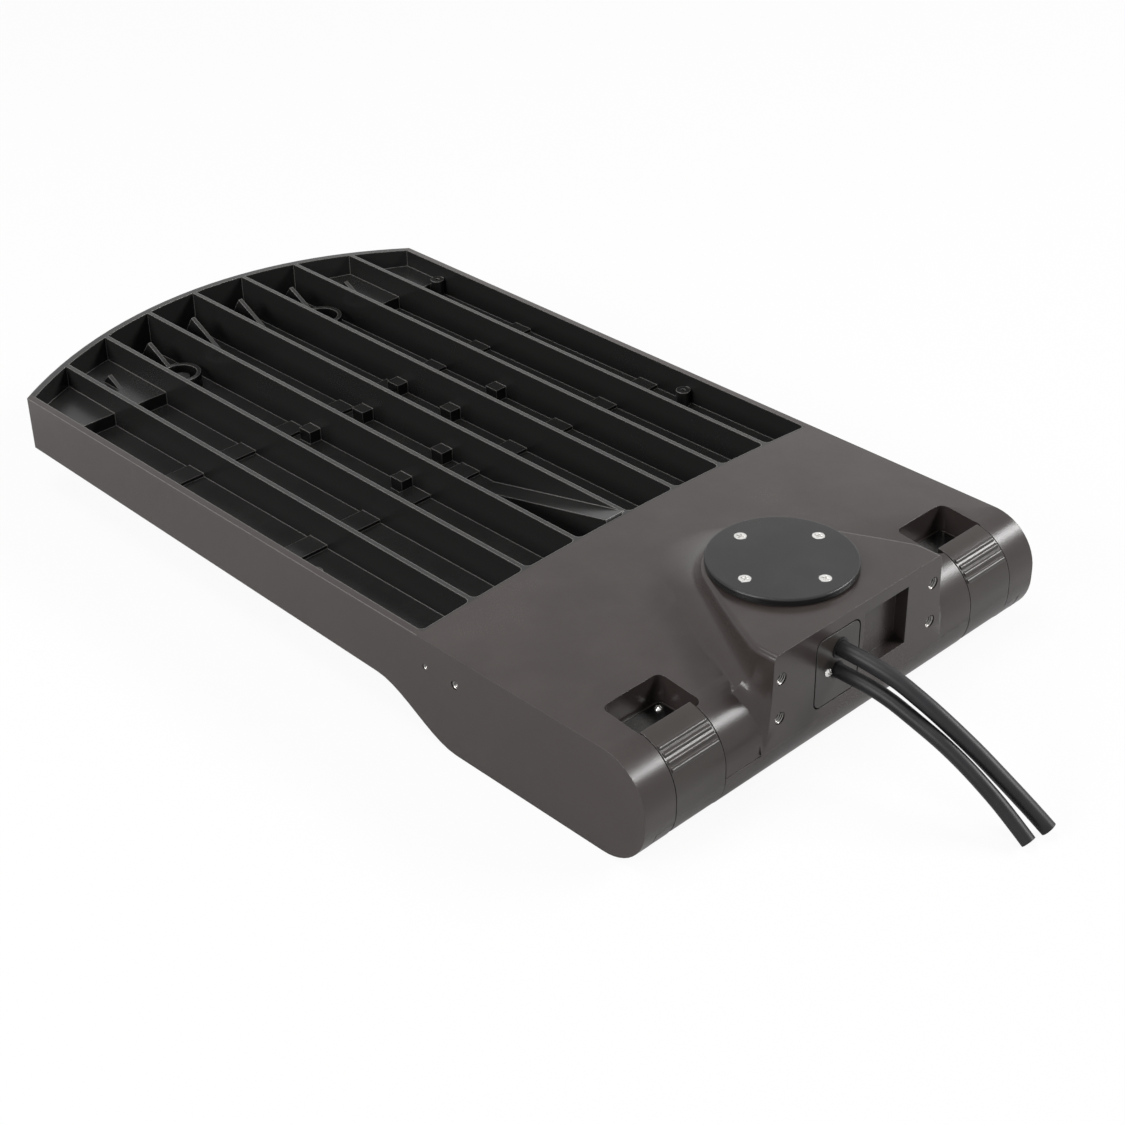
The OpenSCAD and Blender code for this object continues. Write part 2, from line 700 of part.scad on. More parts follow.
// The casting
module main_housing() {
    color([0.31, 0.29, 0.28]) place() difference() {
        union() {
            difference() {
                intersection() {
                    along_x(body_w) side2d();
                    front_limit();
                    under_crown();
                }
                pockets();
            }
            floor_details();
            boss();
        }
        box_cuts();
        difference() {
            boss_cuts();
            cap_seats_solid();
        }
        latch_cuts();
        led_cuts();
        channel();
        for (x = [-collar_dx, collar_dx]) translate([x, collar_y, led_ceiling - 1])
            cylinder(h = side_h, r = m4_r + run, $fn = round_fn);
        for (x = [-collar_dx, collar_dx]) translate([x, collar_y, floor_z(collar_y) + 1])
            cylinder(h = side_h, r = collar_bore, $fn = round_fn);
        both_sides() for (y = wall_boss_y)
            translate([half_w - wall_t - wall_boss_r, y, floor_tip + 2]) cylinder(h = side_h, r = m3_r, $fn = round_fn);
        both_sides() for (h = side_holes)
            rod_x(h[0], side_hole_z, half_w - side_hole_l, half_w + 1, h[1]);
        both_sides() for (y = tray_screws_y) translate([tray_screws_x, y, tray_z])
            cylinder(h = 9, r = m3_r + run, $fn = round_fn);
        translate([ground_x, ground_y, tray_z - 3]) cylinder(h = 12, r = m4_r + run, $fn = round_fn);
    }
}

// The cover screws' seats, less the holes in them
module cap_seats_solid() {
    difference() {
        cap_seats();
        for (a = [0:90:270])
            translate([cap_screw_r * cos(a), cap_y + cap_screw_r * sin(a), boss_top - cap_screw_l])
                cylinder(h = cap_screw_l + 1, r = m4_r + run, $fn = round_fn);
        translate([0, cap_y, boss_top - deck_t - cap_seat_l - 1])
            cylinder(h = cap_seat_l + 3, r = well_r, $fn = round_fn);
    }
}

// Side view of the door's outside
module door2d() {
    low = 0.5;
    intersection() {
        union() {
            rounding2d(0.1);
            polygon(concat([[rear_y, parting_z], [rear_y, low]], ramp_points(low, led_low),
                [[ramp_y1, parting_z]]));
        }
        translate([0, low]) square([ramp_y1, parting_z - door_gap - low]);
    }
}

// Side view of the space inside the door
module door_inside2d() {
    intersection() {
        union() {
            rounding2d(skin_t);
            polygon(concat([[rear_y, parting_z], [rear_y, skin_t]], ramp_points(skin_t, led_low),
                [[ramp_y1, parting_z]]));
        }
        translate([0, 0]) square([seal_y2 - land_w, parting_z + 1]);
    }
}

// The door under the driver box
module driver_door() {
    seal_z = parting_z - seal_t - seal_gap;
    color([0.33, 0.31, 0.30]) place() difference() {
        union() {
            intersection() {
                along_x(2 * door_half) door2d();
                union() {
                    block([-door_half, -1, 0], [door_half, hinge_y, corner_z - door_gap]);
                    block([-corner_x + door_gap, -1, 0], [corner_x - door_gap, hinge_y, parting_z]);
                    rod_x(hinge_y, hinge_z, -door_half, door_half, knuckle_r);
                    both_sides() block([knuckle_in, knuckle_y, 0], [door_half, hinge_y, hinge_z]);
                }
            }
            both_sides() rod_x(hinge_y, hinge_z, knuckle_in, door_half, knuckle_core_r);
        }
        intersection() {
            along_x(2 * door_half) door_inside2d();
            translate([0, 0, 1]) linear_extrude(side_h) seal2d(land_w);
        }
        translate([0, 0, seal_z]) linear_extrude(side_h) difference() {
            seal2d(0);
            seal2d(land_w);
        }
        difference() {
            translate([0, 0, 0]) along_x(2 * door_half + 2) polygon(concat(
                [for (i = [4:ramp_steps]) let (y = ramp_y0 + (ramp_y1 - ramp_y0) * i / ramp_steps)
                    [y, skin_t + 0.5 + ramp_z(y, led_low)]],
                [[ramp_y1, side_h], [ramp_y0 + (ramp_y1 - ramp_y0) * 4 / ramp_steps, side_h]]));
            both_sides() rod_x(hinge_y, hinge_z, knuckle_in, door_half, knuckle_core_r);
            both_sides() block([knuckle_in, knuckle_y, 0], [door_half, hinge_y, hinge_z]);
        }
        both_sides() {
            block([alcove_in, -2, -1], [alcove_out, latch_py + 1.5, side_h]);
            block([alcove_in, -2, latch_pz], [alcove_out, alcove_y, side_h]);
            rod_x(latch_py, latch_pz, alcove_in, alcove_out, latch_knuckle_r + door_gap);
            rod_x(latch_py, latch_pz, alcove_in - ear_t, alcove_out + ear_t, latch_pin_d / 2 + run);
            rod_x(hinge_y, hinge_z, knuckle_in - 1, door_half + 1, hinge_d / 2 + run);
        }
    }
}

// One latch on the right: a curved lever with grip ribs and a knuckle for its pin
module latch() {
    difference() {
        union() {
            intersection() {
                translate([(latch_in + latch_out) / 2, 0, 0]) along_x(latch_out - latch_in) difference() {
                    rounding2d(0);
                    rounding2d(latch_t);
                }
                block([0, -1, latch_pz], [half_w, latch_tip_y, side_h + 1]);
            }
            rod_x(latch_py, latch_pz, latch_in, latch_out, latch_knuckle_r);
            for (a = latch_rib_angles)
                rod_x(rear_y + (rear_r - latch_rib_r / 2) * cos(a), rear_up + (rear_r - latch_rib_r / 2) * sin(a),
                    latch_in + 1, latch_out - 1, latch_rib_r);
        }
        rod_x(latch_py, latch_pz, latch_in - 1, latch_out + 1, latch_pin_d / 2 + run);
    }
}

module latch_right() {
    color([0.30, 0.28, 0.27]) place() latch();
}

module latch_left() {
    color([0.30, 0.28, 0.27]) place() mirror([1, 0, 0]) latch();
}

// The round cover with a rounded rim and four countersunk holes
module mount_cap() {
    rim = 1.2;
    color([0.27, 0.26, 0.26]) place() translate([0, cap_y, boss_top + cap_gasket_t]) difference() {
        rotate_extrude($fn = 180) {
            square([cap_d / 2 - rim, cap_t]);
            square([cap_d / 2, cap_t - rim]);
            translate([cap_d / 2 - rim, cap_t - rim]) circle(r = rim, $fn = 48);
        }
        for (a = [0:90:270]) translate([cap_screw_r * cos(a), cap_screw_r * sin(a), 0]) {
            translate([0, 0, -1]) cylinder(h = cap_t + 2, r = m4_r + 0.3, $fn = round_fn);
            translate([0, 0, cap_t - m4_head_h - run]) cylinder(h = m4_head_h + run + 1,
                r1 = m4_r + 0.3, r2 = m4_head_r + 0.3 + (m4_head_r - m4_r) / m4_head_h, $fn = round_fn);
        }
    }
}

module cap_gasket() {
    color([0.05, 0.05, 0.05]) place() translate([0, cap_y, boss_top]) difference() {
        cylinder(h = cap_gasket_t, r = cap_d / 2 - 1, $fn = 180);
        translate([0, 0, -1]) cylinder(h = cap_gasket_t + 2, r = well_r, $fn = 180);
        for (a = [0:90:270]) translate([cap_screw_r * cos(a), cap_screw_r * sin(a), -1])
            cylinder(h = cap_gasket_t + 2, r = m4_r + 0.3, $fn = round_fn);
    }
}

module cap_screws() {
    color([0.75, 0.75, 0.76]) place() for (a = [0:90:270])
        translate([cap_screw_r * cos(a), cap_y + cap_screw_r * sin(a), cap_top])
            rotate([0, 0, a + 20]) flat_screw(m4_r, m4_head_r, m4_head_h, cap_screw_l);
}

// Holes through the cable plate and its gasket
module plate_holes(wall) {
    rod_y(power_x, power_z, -1, plate_t + plate_gasket_t + 1, power_d / 2 + wall);
    rod_y(dim_x, dim_z, -1, plate_t + plate_gasket_t + 1, dim_d / 2 + wall);
    rod_y(gland_screw_x, gland_screw_z, -1, plate_t + plate_gasket_t + 1, gland_shank_r + 0.1);
}

module gland_plate() {
    color([0.36, 0.34, 0.33]) place() difference() {
        translate([plate_x, plate_t, plate_z]) rotate([90, 0, 0]) linear_extrude(plate_t)
            round_rect(plate_w, plate_h, plate_r);
        plate_holes(bush_t + run);
    }
}

module gland_gasket() {
    color([0.05, 0.05, 0.05]) place() difference() {
        translate([plate_x, plate_t + plate_gasket_t, plate_z]) rotate([90, 0, 0])
            linear_extrude(plate_gasket_t) round_rect(plate_w + 1, plate_h + 1, plate_r + 0.5);
        plate_holes(bush_t + run);
    }
}

module gland_screw() {
    color([0.75, 0.75, 0.76]) place() translate([gland_screw_x, 0, gland_screw_z]) rotate([90, 25, 0])
        pan_screw(gland_shank_r, gland_head_r, screw_stand, gland_screw_l - 1);
}

// One bushing: a sleeve through the plate with a thin lip outside it
module bushing(x, z, d) {
    difference() {
        union() {
            rod_y(x, z, -bush_stand, plate_t + plate_gasket_t - 0.2, d / 2 + bush_t);
            rod_y(x, z, -bush_stand, -run, d / 2 + bush_t + (x == dim_x ? 0 : bush_lip));
        }
        rod_y(x, z, -2, plate_t + plate_gasket_t + 1, d / 2 + run);
    }
}

module cable_bushings() {
    color([0.04, 0.04, 0.04]) place() {
        bushing(power_x, power_z, power_d);
        bushing(dim_x, dim_z, dim_d);
    }
}

module power_cable() {
    color([0.06, 0.06, 0.065]) place() tube(power_route, power_d / 2, cable_sides);
}

module dimming_cable() {
    color([0.06, 0.06, 0.065]) place() tube(dim_route, dim_d / 2, cable_sides);
}

// Spring strips in the finger recesses
module latch_keepers() {
    gap = 0.5;
    color([0.6, 0.6, 0.6]) place() both_sides() difference() {
        union() {
            block([recess_in + 2, keeper_y, recess_z], [recess_out - 2, recess_y - 2, recess_z + keeper_t]);
            block([latch_in + gap, keeper_y, recess_z], [latch_out - gap, keeper_y + keeper_t, recess_z + keeper_h]);
        }
        translate([keeper_screw_x, keeper_screw_y, recess_z - 1])
            cylinder(h = keeper_t + 2, r = m3_r + 0.1, $fn = round_fn);
    }
}

module keeper_screws() {
    color([0.75, 0.75, 0.76]) place() both_sides()
        translate([keeper_screw_x, keeper_screw_y, recess_z + keeper_t])
            pan_screw(m3_r, m3_head_r, m3_head_h, keeper_screw_l - 0.5);
}

// Breather plugs that screw into the floors of the two collars
module vent_plugs() {
    seat = floor_z(collar_y) + 1;
    color([0.08, 0.08, 0.08]) place() for (x = [-collar_dx, collar_dx]) translate([x, collar_y, seat]) {
        difference() {
            union() {
                translate([0, 0, -5]) cylinder(h = 6, r = m4_r, $fn = round_fn);
                cylinder(h = 3, r = 7, $fn = 6);
                translate([0, 0, 3]) cylinder(h = 4, r1 = 8, r2 = 6.5, $fn = round_fn);
            }
            translate([0, 0, -6]) cylinder(h = 9, r = 1, $fn = round_fn);
        }
    }
}

module hinge_pins() {
    color([0.7, 0.7, 0.71]) place() both_sides()
        rod_x(hinge_y, hinge_z, knuckle_in + 2, half_w - 4.2, hinge_d / 2);
}

module latch_pins() {
    color([0.7, 0.7, 0.71]) place() both_sides()
        rod_x(latch_py, latch_pz, alcove_in - ear_t + 0.2, alcove_out + ear_t - 0.2, latch_pin_d / 2);
}

module door_gasket() {
    color([0.06, 0.06, 0.06]) place() translate([0, 0, parting_z - seal_t]) linear_extrude(seal_t) difference() {
        seal2d(0.5);
        seal2d(land_w - 0.5);
    }
}

// Repeats its children at the centre of each lens module
module modules() {
    for (c = [0:led_cols - 1], r = [0:led_rows - 1])
        translate([(c - (led_cols - 1) / 2) * (mod_w + mod_gap), led_y + mod_l / 2 + r * (mod_l + mod_gap), 0])
            children();
}

// Screw places in one module, from its centre
function screw_spots() = [for (x = [-1, 1], y = [-1, 1])
    [x * (mod_w / 2 - screw_inset), y * (mod_l / 2 - screw_inset)]];

// LED places in one module, from its centre
function led_spots() =
    let (dx = (mod_w - 28) / (dome_n - 1), dy = (mod_l - 28) / (dome_m - 1))
    [for (i = [0:dome_n - 1], j = [0:dome_m - 1])
        [(i - (dome_n - 1) / 2) * dx, (j - (dome_m - 1) / 2) * dy]];

module screw_holes(z, h) {
    for (p = screw_spots()) translate([p[0], p[1], z - 1]) cylinder(h = h + 2, r = m3_r + 0.1, $fn = round_fn);
}

module led_boards() {
    color([0.85, 0.86, 0.84]) place() modules() difference() {
        union() {
            translate([-mod_w / 2 + led_margin, -mod_l / 2 + led_margin, board_z])
                cube([mod_w - 2 * led_margin, mod_l - 2 * led_margin, board_t]);
            for (p = led_spots()) translate([p[0] - chip / 2, p[1] - chip / 2, board_z - chip_h])
                cube([chip, chip, chip_h + 0.5]);
        }
        screw_holes(board_z, board_t);
    }
}

module lens_gaskets() {
    color([0.1, 0.1, 0.1]) place() modules() difference() {
        translate([-mod_w / 2 + led_margin, -mod_l / 2 + led_margin, gasket_z])
            cube([mod_w - 2 * led_margin, mod_l - 2 * led_margin, lens_gasket_t]);
        difference() {
            translate([-mod_w / 2 + led_margin + gasket_edge, -mod_l / 2 + led_margin + gasket_edge, gasket_z - 1])
                cube([mod_w - 2 * (led_margin + gasket_edge), mod_l - 2 * (led_margin + gasket_edge), lens_gasket_t + 2]);
            for (p = screw_spots()) translate([p[0], p[1], gasket_z - 2])
                cylinder(h = lens_gasket_t + 4, r = 4.5, $fn = round_fn);
        }
        screw_holes(gasket_z, lens_gasket_t);
    }
}

// One lens dome: a slice of a ball that hangs below the lens plate
module dome() {
    overlap = 1;
    rise = dome_r - dome_h;
    rotate_extrude($fn = 48) intersection() {
        translate([0, rise]) circle(r = dome_r, $fn = round_fn);
        translate([0, -dome_h]) square([dome_r, dome_h + overlap]);
    }
}

module lens_plates() {
    color([0.8, 0.85, 0.88]) place() modules() difference() {
        union() {
            translate([-mod_w / 2, -mod_l / 2, lens_z]) cube([mod_w, mod_l, lens_t]);
            for (p = led_spots()) translate([p[0], p[1], lens_z]) dome();
        }
        screw_holes(lens_z, lens_t);
    }
}

module lens_screws() {
    color([0.75, 0.75, 0.76]) place() modules() for (p = screw_spots())
        translate([p[0], p[1], lens_z]) rotate([180, 0, 30]) pan_screw(m3_r, m3_head_r, m3_head_h, lens_screw_l - 0.5);
}

// The driver: a potted case with a foot at each end
module driver() {
    color([0.62, 0.63, 0.64]) place() difference() {
        union() {
            block([-driver_l / 2 + driver_foot, driver_y, tray_z - driver_h],
                [driver_l / 2 - driver_foot, driver_y + driver_w, tray_z]);
            block([-driver_l / 2, driver_y + 4, tray_z - driver_foot_t],
                [driver_l / 2, driver_y + driver_w - 4, tray_z]);
        }
        driver_holes(m4_r + 0.2);
    }
}

module driver_holes(r) {
    for (x = [-1, 1], y = [12, driver_w - 12])
        translate([x * (driver_l / 2 - driver_foot / 2), driver_y + y, tray_z - 10])
            cylinder(h = 20, r = r, $fn = round_fn);
}

// Flat tray that carries the gear under the box roof
module gear_tray() {
    color([0.72, 0.73, 0.74]) place() difference() {
        block([-tray_half, tray_y0, tray_z], [tray_half, tray_y1, tray_z + tray_t]);
        driver_holes(m4_r + run);
        both_sides() for (y = tray_screws_y) translate([tray_screws_x, y, tray_z - 1])
            cylinder(h = tray_t + 2, r = m3_r + 0.2, $fn = round_fn);
        translate([ground_x, ground_y, tray_z - 1]) cylinder(h = tray_t + 2, r = gear_seat_r + 1, $fn = round_fn);
    }
}

module driver_screws() {
    color([0.75, 0.75, 0.76]) place() for (x = [-1, 1], y = [12, driver_w - 12])
        translate([x * (driver_l / 2 - driver_foot / 2), driver_y + y, tray_z - driver_foot_t])
            rotate([180, 0, 0]) pan_screw(m4_r, 3.6, 2.4, driver_foot_t + tray_t + 0.8);
}

module tray_screws() {
    color([0.75, 0.75, 0.76]) place() both_sides() for (y = tray_screws_y)
        translate([tray_screws_x, y, tray_z]) rotate([180, 0, 0]) pan_screw(m3_r, m3_head_r, m3_head_h, 8);
}

module surge_protector() {
    r = 2;
    color([0.1, 0.1, 0.11]) place() translate([surge_at[0], surge_at[1], tray_z - surge_size[2]])
        translate([surge_size[0] / 2, surge_size[1] / 2, 0]) linear_extrude(surge_size[2])
            round_rect(surge_size[0], surge_size[1], r);
}

// Terminal block with a row of wire entries and clamp screws
module terminal_block() {
    ways = 5;
    step = block_size[0] / ways;
    color([0.9, 0.9, 0.88]) place() translate([block_at[0], block_at[1], tray_z - block_size[2]]) difference() {
        cube(block_size);
        for (i = [0:ways - 1]) {
            translate([(i + 0.5) * step, -1, 9]) rotate([-90, 0, 0]) cylinder(h = 9, r = 2.2, $fn = round_fn);
            translate([(i + 0.5) * step, block_size[1] - 8, 9]) rotate([-90, 0, 0]) cylinder(h = 9, r = 2.2, $fn = round_fn);
            translate([(i + 0.5) * step, block_size[1] / 2, -1]) cylinder(h = 4, r = 2.2, $fn = round_fn);
        }
    }
}

module ground_screw() {
    color([0.25, 0.55, 0.3]) place() translate([ground_x, ground_y, tray_z - 2]) rotate([180, 0, 0])
        pan_screw(m4_r, 3.8, 2.4, 8);
}

// Rubber block that fills the duct's rear mouth round the leads
module duct_grommet() {
    fit = 0.1;
    y0 = seal_y2 - land_w;
    z = (channel_z0 + channel_z1) / 2;
    color([0.05, 0.05, 0.05]) place() difference() {
        block([channel_x + fit, y0, channel_z0 + fit],
            [channel_x + channel_w - fit, y0 + grommet_l, channel_z1 - fit]);
        for (dz = [-2.5, 2.5]) rod_y(channel_x + channel_w / 2, z + dz, y0 - 1, y0 + grommet_l + 1, lead_r + run);
    }
}

// The two leads from the driver through the duct to the rear LED boards
module led_leads() {
    x = channel_x + channel_w / 2;
    z = (channel_z0 + channel_z1) / 2;
    y0 = seal_y2 - land_w;
    color([0.7, 0.1, 0.1]) place() difference() {
        for (s = [-1, 1])
            tube([[x + 2 * s, driver_y + driver_w - 0.4, z - 6 + 2.5 * s], [x + 1.5 * s, y0 - 2.4, z - 1 + 2.5 * s],
                [x, y0 - 0.6, z + 2.5 * s], [x, y0 + grommet_l + 4, z + 2.5 * s],
                [x + 1.5 * s, duct_head + 20, z - 2 + 2 * s], [x + 3 * s, led_y + 4, z - 4.2 + 1.3 * s],
                [x + 3 * s, led_y + 14, led_ceiling + 5 + s], [x + 3 * s, led_y + 24, led_ceiling + 1.6],
                [x + 3 * s, led_y + 34, led_ceiling + lead_r]],
                lead_r, lead_sides);
        driver_end();
    }
}

// The room of the driver, kept clear of the leads' ends
module driver_end() {
    block([-driver_l / 2, driver_y, 0], [driver_l / 2, driver_y + driver_w, side_h]);
}

// Three leads from the power cable's end to the terminal block
module mains_leads() {
    ways = 5;
    step = block_size[0] / ways;
    color([0.15, 0.35, 0.2]) place() for (i = [0:2]) {
        a = i * 120 + 90;
        end_x = block_at[0] + (i + 1.5) * step;
        tube([[power_x + 2.4 * cos(a), cable_in, power_z + 2.4 * sin(a)],
            [power_x + 2.4 * cos(a), cable_in + 6, power_z + 2.4 * sin(a)],
            [(power_x + end_x) / 2 - 2, 38, 68 - 3 * i],
            [end_x, 52, tray_z - block_size[2] + 16 - 2 * i], [end_x, 60, tray_z - block_size[2] + 9],
            [end_x, block_at[1] + 7, tray_z - block_size[2] + 9]], lead_r, lead_sides);
    }
}

// Leads from the terminal block to the driver's input end
module driver_leads() {
    ways = 5;
    step = block_size[0] / ways;
    color([0.1, 0.1, 0.1]) place() difference() {
        for (i = [0:1]) {
            x = block_at[0] + (i + 1.5) * step;
            tube([[x, block_at[1] + block_size[1] - 7, tray_z - block_size[2] + 9],
                [x, block_at[1] + block_size[1] + 2, tray_z - block_size[2] + 9],
                [x, driver_y + 0.4, tray_z - block_size[2] + 5]],
                lead_r, lead_sides);
        }
        driver_end();
    }
}

// Two signal leads from the dimming cable's end to the driver
module dimming_leads() {
    color([0.5, 0.35, 0.6]) place() for (s = [-1, 1])
        tube([[dim_x + 1.8 * s, cable_in, dim_z], [dim_x + 1.8 * s, cable_in + 6, dim_z],
            [dim_x + 12 + 2 * s, 40, 46], [dim_x + 22 + 3 * s, 62, 36], [dim_x + 24 + 3 * s, 80, 34],
            [dim_x + 24 + 3 * s, driver_y, 34]], lead_r, lead_sides);
}

main_housing();
driver_door();
latch_left();
latch_right();
mount_cap();
cap_gasket();
cap_screws();
gland_plate();
gland_gasket();
gland_screw();
cable_bushings();
power_cable();
dimming_cable();
latch_keepers();
keeper_screws();
vent_plugs();
hinge_pins();
latch_pins();
door_gasket();
led_boards();
lens_gaskets();
lens_plates();
lens_screws();
driver();
gear_tray();
driver_screws();
tray_screws();
surge_protector();
terminal_block();
ground_screw();
duct_grommet();
led_leads();
mains_leads();
driver_leads();
dimming_leads();
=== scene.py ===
"""Looks of a pole-mounted LED area light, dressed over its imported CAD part."""

from __future__ import annotations

import json
import logging
import math
from dataclasses import dataclass
from enum import Enum

import bmesh
import bpy
from mathutils import Matrix, Vector

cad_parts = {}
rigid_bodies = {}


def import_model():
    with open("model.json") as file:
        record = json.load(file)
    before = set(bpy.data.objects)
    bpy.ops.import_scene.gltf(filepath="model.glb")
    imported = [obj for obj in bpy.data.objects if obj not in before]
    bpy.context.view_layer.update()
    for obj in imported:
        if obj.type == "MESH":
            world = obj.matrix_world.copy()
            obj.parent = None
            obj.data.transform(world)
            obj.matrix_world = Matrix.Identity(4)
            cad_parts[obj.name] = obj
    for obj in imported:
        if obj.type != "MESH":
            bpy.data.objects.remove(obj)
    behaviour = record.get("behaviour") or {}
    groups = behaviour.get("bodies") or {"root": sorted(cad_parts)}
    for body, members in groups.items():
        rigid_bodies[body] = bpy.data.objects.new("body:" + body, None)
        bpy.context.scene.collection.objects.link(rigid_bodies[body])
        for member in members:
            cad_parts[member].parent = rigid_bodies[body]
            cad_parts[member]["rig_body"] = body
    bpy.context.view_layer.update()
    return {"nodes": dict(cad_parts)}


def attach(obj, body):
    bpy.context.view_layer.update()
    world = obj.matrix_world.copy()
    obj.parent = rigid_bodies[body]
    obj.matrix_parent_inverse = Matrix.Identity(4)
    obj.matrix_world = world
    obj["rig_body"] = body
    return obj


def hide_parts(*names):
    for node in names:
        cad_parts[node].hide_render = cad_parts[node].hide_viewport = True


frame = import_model()
LOG = logging.getLogger("area_light")
Colour = tuple[float, float, float]
Point = tuple[float, float, float]
Span = tuple[float, float]
Socket = bpy.types.NodeSocket
Material = bpy.types.Material

# Body that the fixed pieces ride on
HOUSING = "housing"
# Y of the mounting boss's rear face, in metres
REAR = -0.3129
# Y at which the pockets between the fins start, in metres
FINS_START = -0.1322
# X just past the side walls' inner faces, in metres
WALL_INSIDE = 0.1655
# Z just under the lowest pocket floor, in metres
FLOOR_LOW = 0.0445
# X of the side walls' outer faces, in metres
SIDE_FACE = 0.170
# Angle in degrees past which an edge stays sharp
CREASE = 32.0
# Distance within which the corners of a CAD node's triangles are one, in metres
MERGE = 1e-6
# Whole range of a mask
FULL = (0.0, 1.0)


class Gloss(Enum):
    """How a finish reflects: its roughness and how far that varies."""

    MATT = (0.62, 0.12)
    WAXY = (0.42, 0.06)
    SATIN = (0.25, 0.06)
    SMOOTH = (0.23, 0.05)


class Kind(Enum):
    """The kinds of socket on the shared node groups."""

    VALUE = "NodeSocketFloat"
    VECTOR = "NodeSocketVector"


class Side(Enum):
    """The two sides of the light, by the sign of X."""

    LEFT = -1
    RIGHT = 1


def from_rear(x: float, y: float, z: float) -> Point:
    """Turns millimetres from the boss's rear face into metres in the part's frame.

    Args:
        x: Across the light.
        y: From the rear face towards the tip.
        z: Up.

    Returns:
        The point in metres.
    """
    return (x / 1000, y / 1000 + REAR, z / 1000)


def scaled(colour: Colour, gain: float, lift: float = 0.0) -> Colour:
    """Makes a colour lighter or darker.

    Args:
        colour: The colour.
        gain: What each channel is multiplied by.
        lift: What is added to each channel.

    Returns:
        The new colour.
    """
    return tuple(channel * gain + lift for channel in colour)


def new_object(name: str, data: bpy.types.ID) -> bpy.types.Object:
    """Makes an object and puts it in the scene.

    Args:
        name: Name of the object.
        data: Its mesh, curve, lamp or camera.

    Returns:
        The object at the origin.
    """
    thing = bpy.data.objects.new(name, data)
    bpy.context.scene.collection.objects.link(thing)
    return thing


def mesh_from(shape: bmesh.types.BMesh, name: str) -> bpy.types.Mesh:
    """Turns a bmesh into a mesh.

    Args:
        shape: The bmesh, which is freed.
        name: Name of the mesh.

    Returns:
        The mesh.
    """
    mesh = bpy.data.meshes.new(name)
    shape.to_mesh(mesh)
    shape.free()
    return mesh


def new_group(name: str, inputs: dict[str, Kind], outputs: dict[str, Kind]) -> bpy.types.NodeTree:
    """Makes an empty shader node group with named sockets.

    Args:
        name: Name of the group.
        inputs: Kinds of its inputs by name.
        outputs: Kinds of its outputs by name.

    Returns:
        The group, with its input and output nodes in place.
    """
    tree = bpy.data.node_groups.new(name, "ShaderNodeTree")
    for way, sockets in (("INPUT", inputs), ("OUTPUT", outputs)):
        for label, kind in sockets.items():
            tree.interface.new_socket(name=label, in_out=way, socket_type=kind.value)
    tree.nodes.new("NodeGroupInput")
    tree.nodes.new("NodeGroupOutput")
    return tree


class Wiring:
    """Adds and joins nodes in one node tree."""

    def __init__(self, tree: bpy.types.NodeTree) -> None:
        """Keeps the tree that the nodes go into."""
        self.tree = tree

    def link(self, source: Socket, target: Socket) -> None:
        """Joins an output to an input."""
        self.tree.links.new(source, target)

    def feed(self, target: Socket, value: object) -> None:
        """Links an input, or sets it.

        Args:
            target: The input.
            value: An output to link, a number, or a colour, which gets an alpha of 1.
        """
        if isinstance(value, bpy.types.NodeSocket):
            self.link(value, target)
        else:
            target.default_value = (*value, 1.0) if isinstance(value, tuple) else value

    def add(self, kind: str, **values: object) -> bpy.types.Node:
        """Adds a node and sets its properties or feeds its inputs.

        Args:
            kind: Blender's name of the node type.
            **values: Property or input values by name, with spaces as underscores.

        Returns:
            The new node.
        """
        node = self.tree.nodes.new(kind)
        for key, value in values.items():
            if hasattr(node, key):
                setattr(node, key, value)
            else:
                self.feed(node.inputs[key.replace("_", " ")], value)
        return node

    def math(self, operation: str, first: object, second: object = 0.0) -> Socket:
        """Adds a maths node.

        Args:
            operation: Blender's name of the operation.
            first: First number or socket.
            second: Second number or socket.

        Returns:
            The result's socket.
        """
        node = self.add("ShaderNodeMath", operation=operation, use_clamp=False)
        self.feed(node.inputs[0], first)
        self.feed(node.inputs[1], second)
        return node.outputs[0]

    def spread(self, value: Socket, read: Span = FULL, give: Span = FULL) -> Socket:
        """Maps a value from one range to another, clamped.

        Args:
            value: Socket to map.
            read: Start and end of the range read.
            give: Start and end of the range given.

        Returns:
            The mapped value's socket.
        """
        ranges = {"From_Min": read[0], "From_Max": read[1], "To_Min": give[0], "To_Max": give[1]}
        return self.add("ShaderNodeMapRange", Value=value, **ranges).outputs["Result"]

    def blend(self, share: object, first: object, second: object) -> Socket:
        """Mixes two colours.

        Args:
            share: Share of the second colour, a number or a socket.
            first: First colour or socket.
            second: Second colour or socket.

        Returns:
            The mixed colour's socket.
        """
        node = self.add("ShaderNodeMix", data_type="RGBA")
        # The share and the two colours are at these inputs, and the mixed colour at output 2
        for index, value in ((0, share), (6, first), (7, second)):
            self.feed(node.inputs[index], value)
        return node.outputs[2]


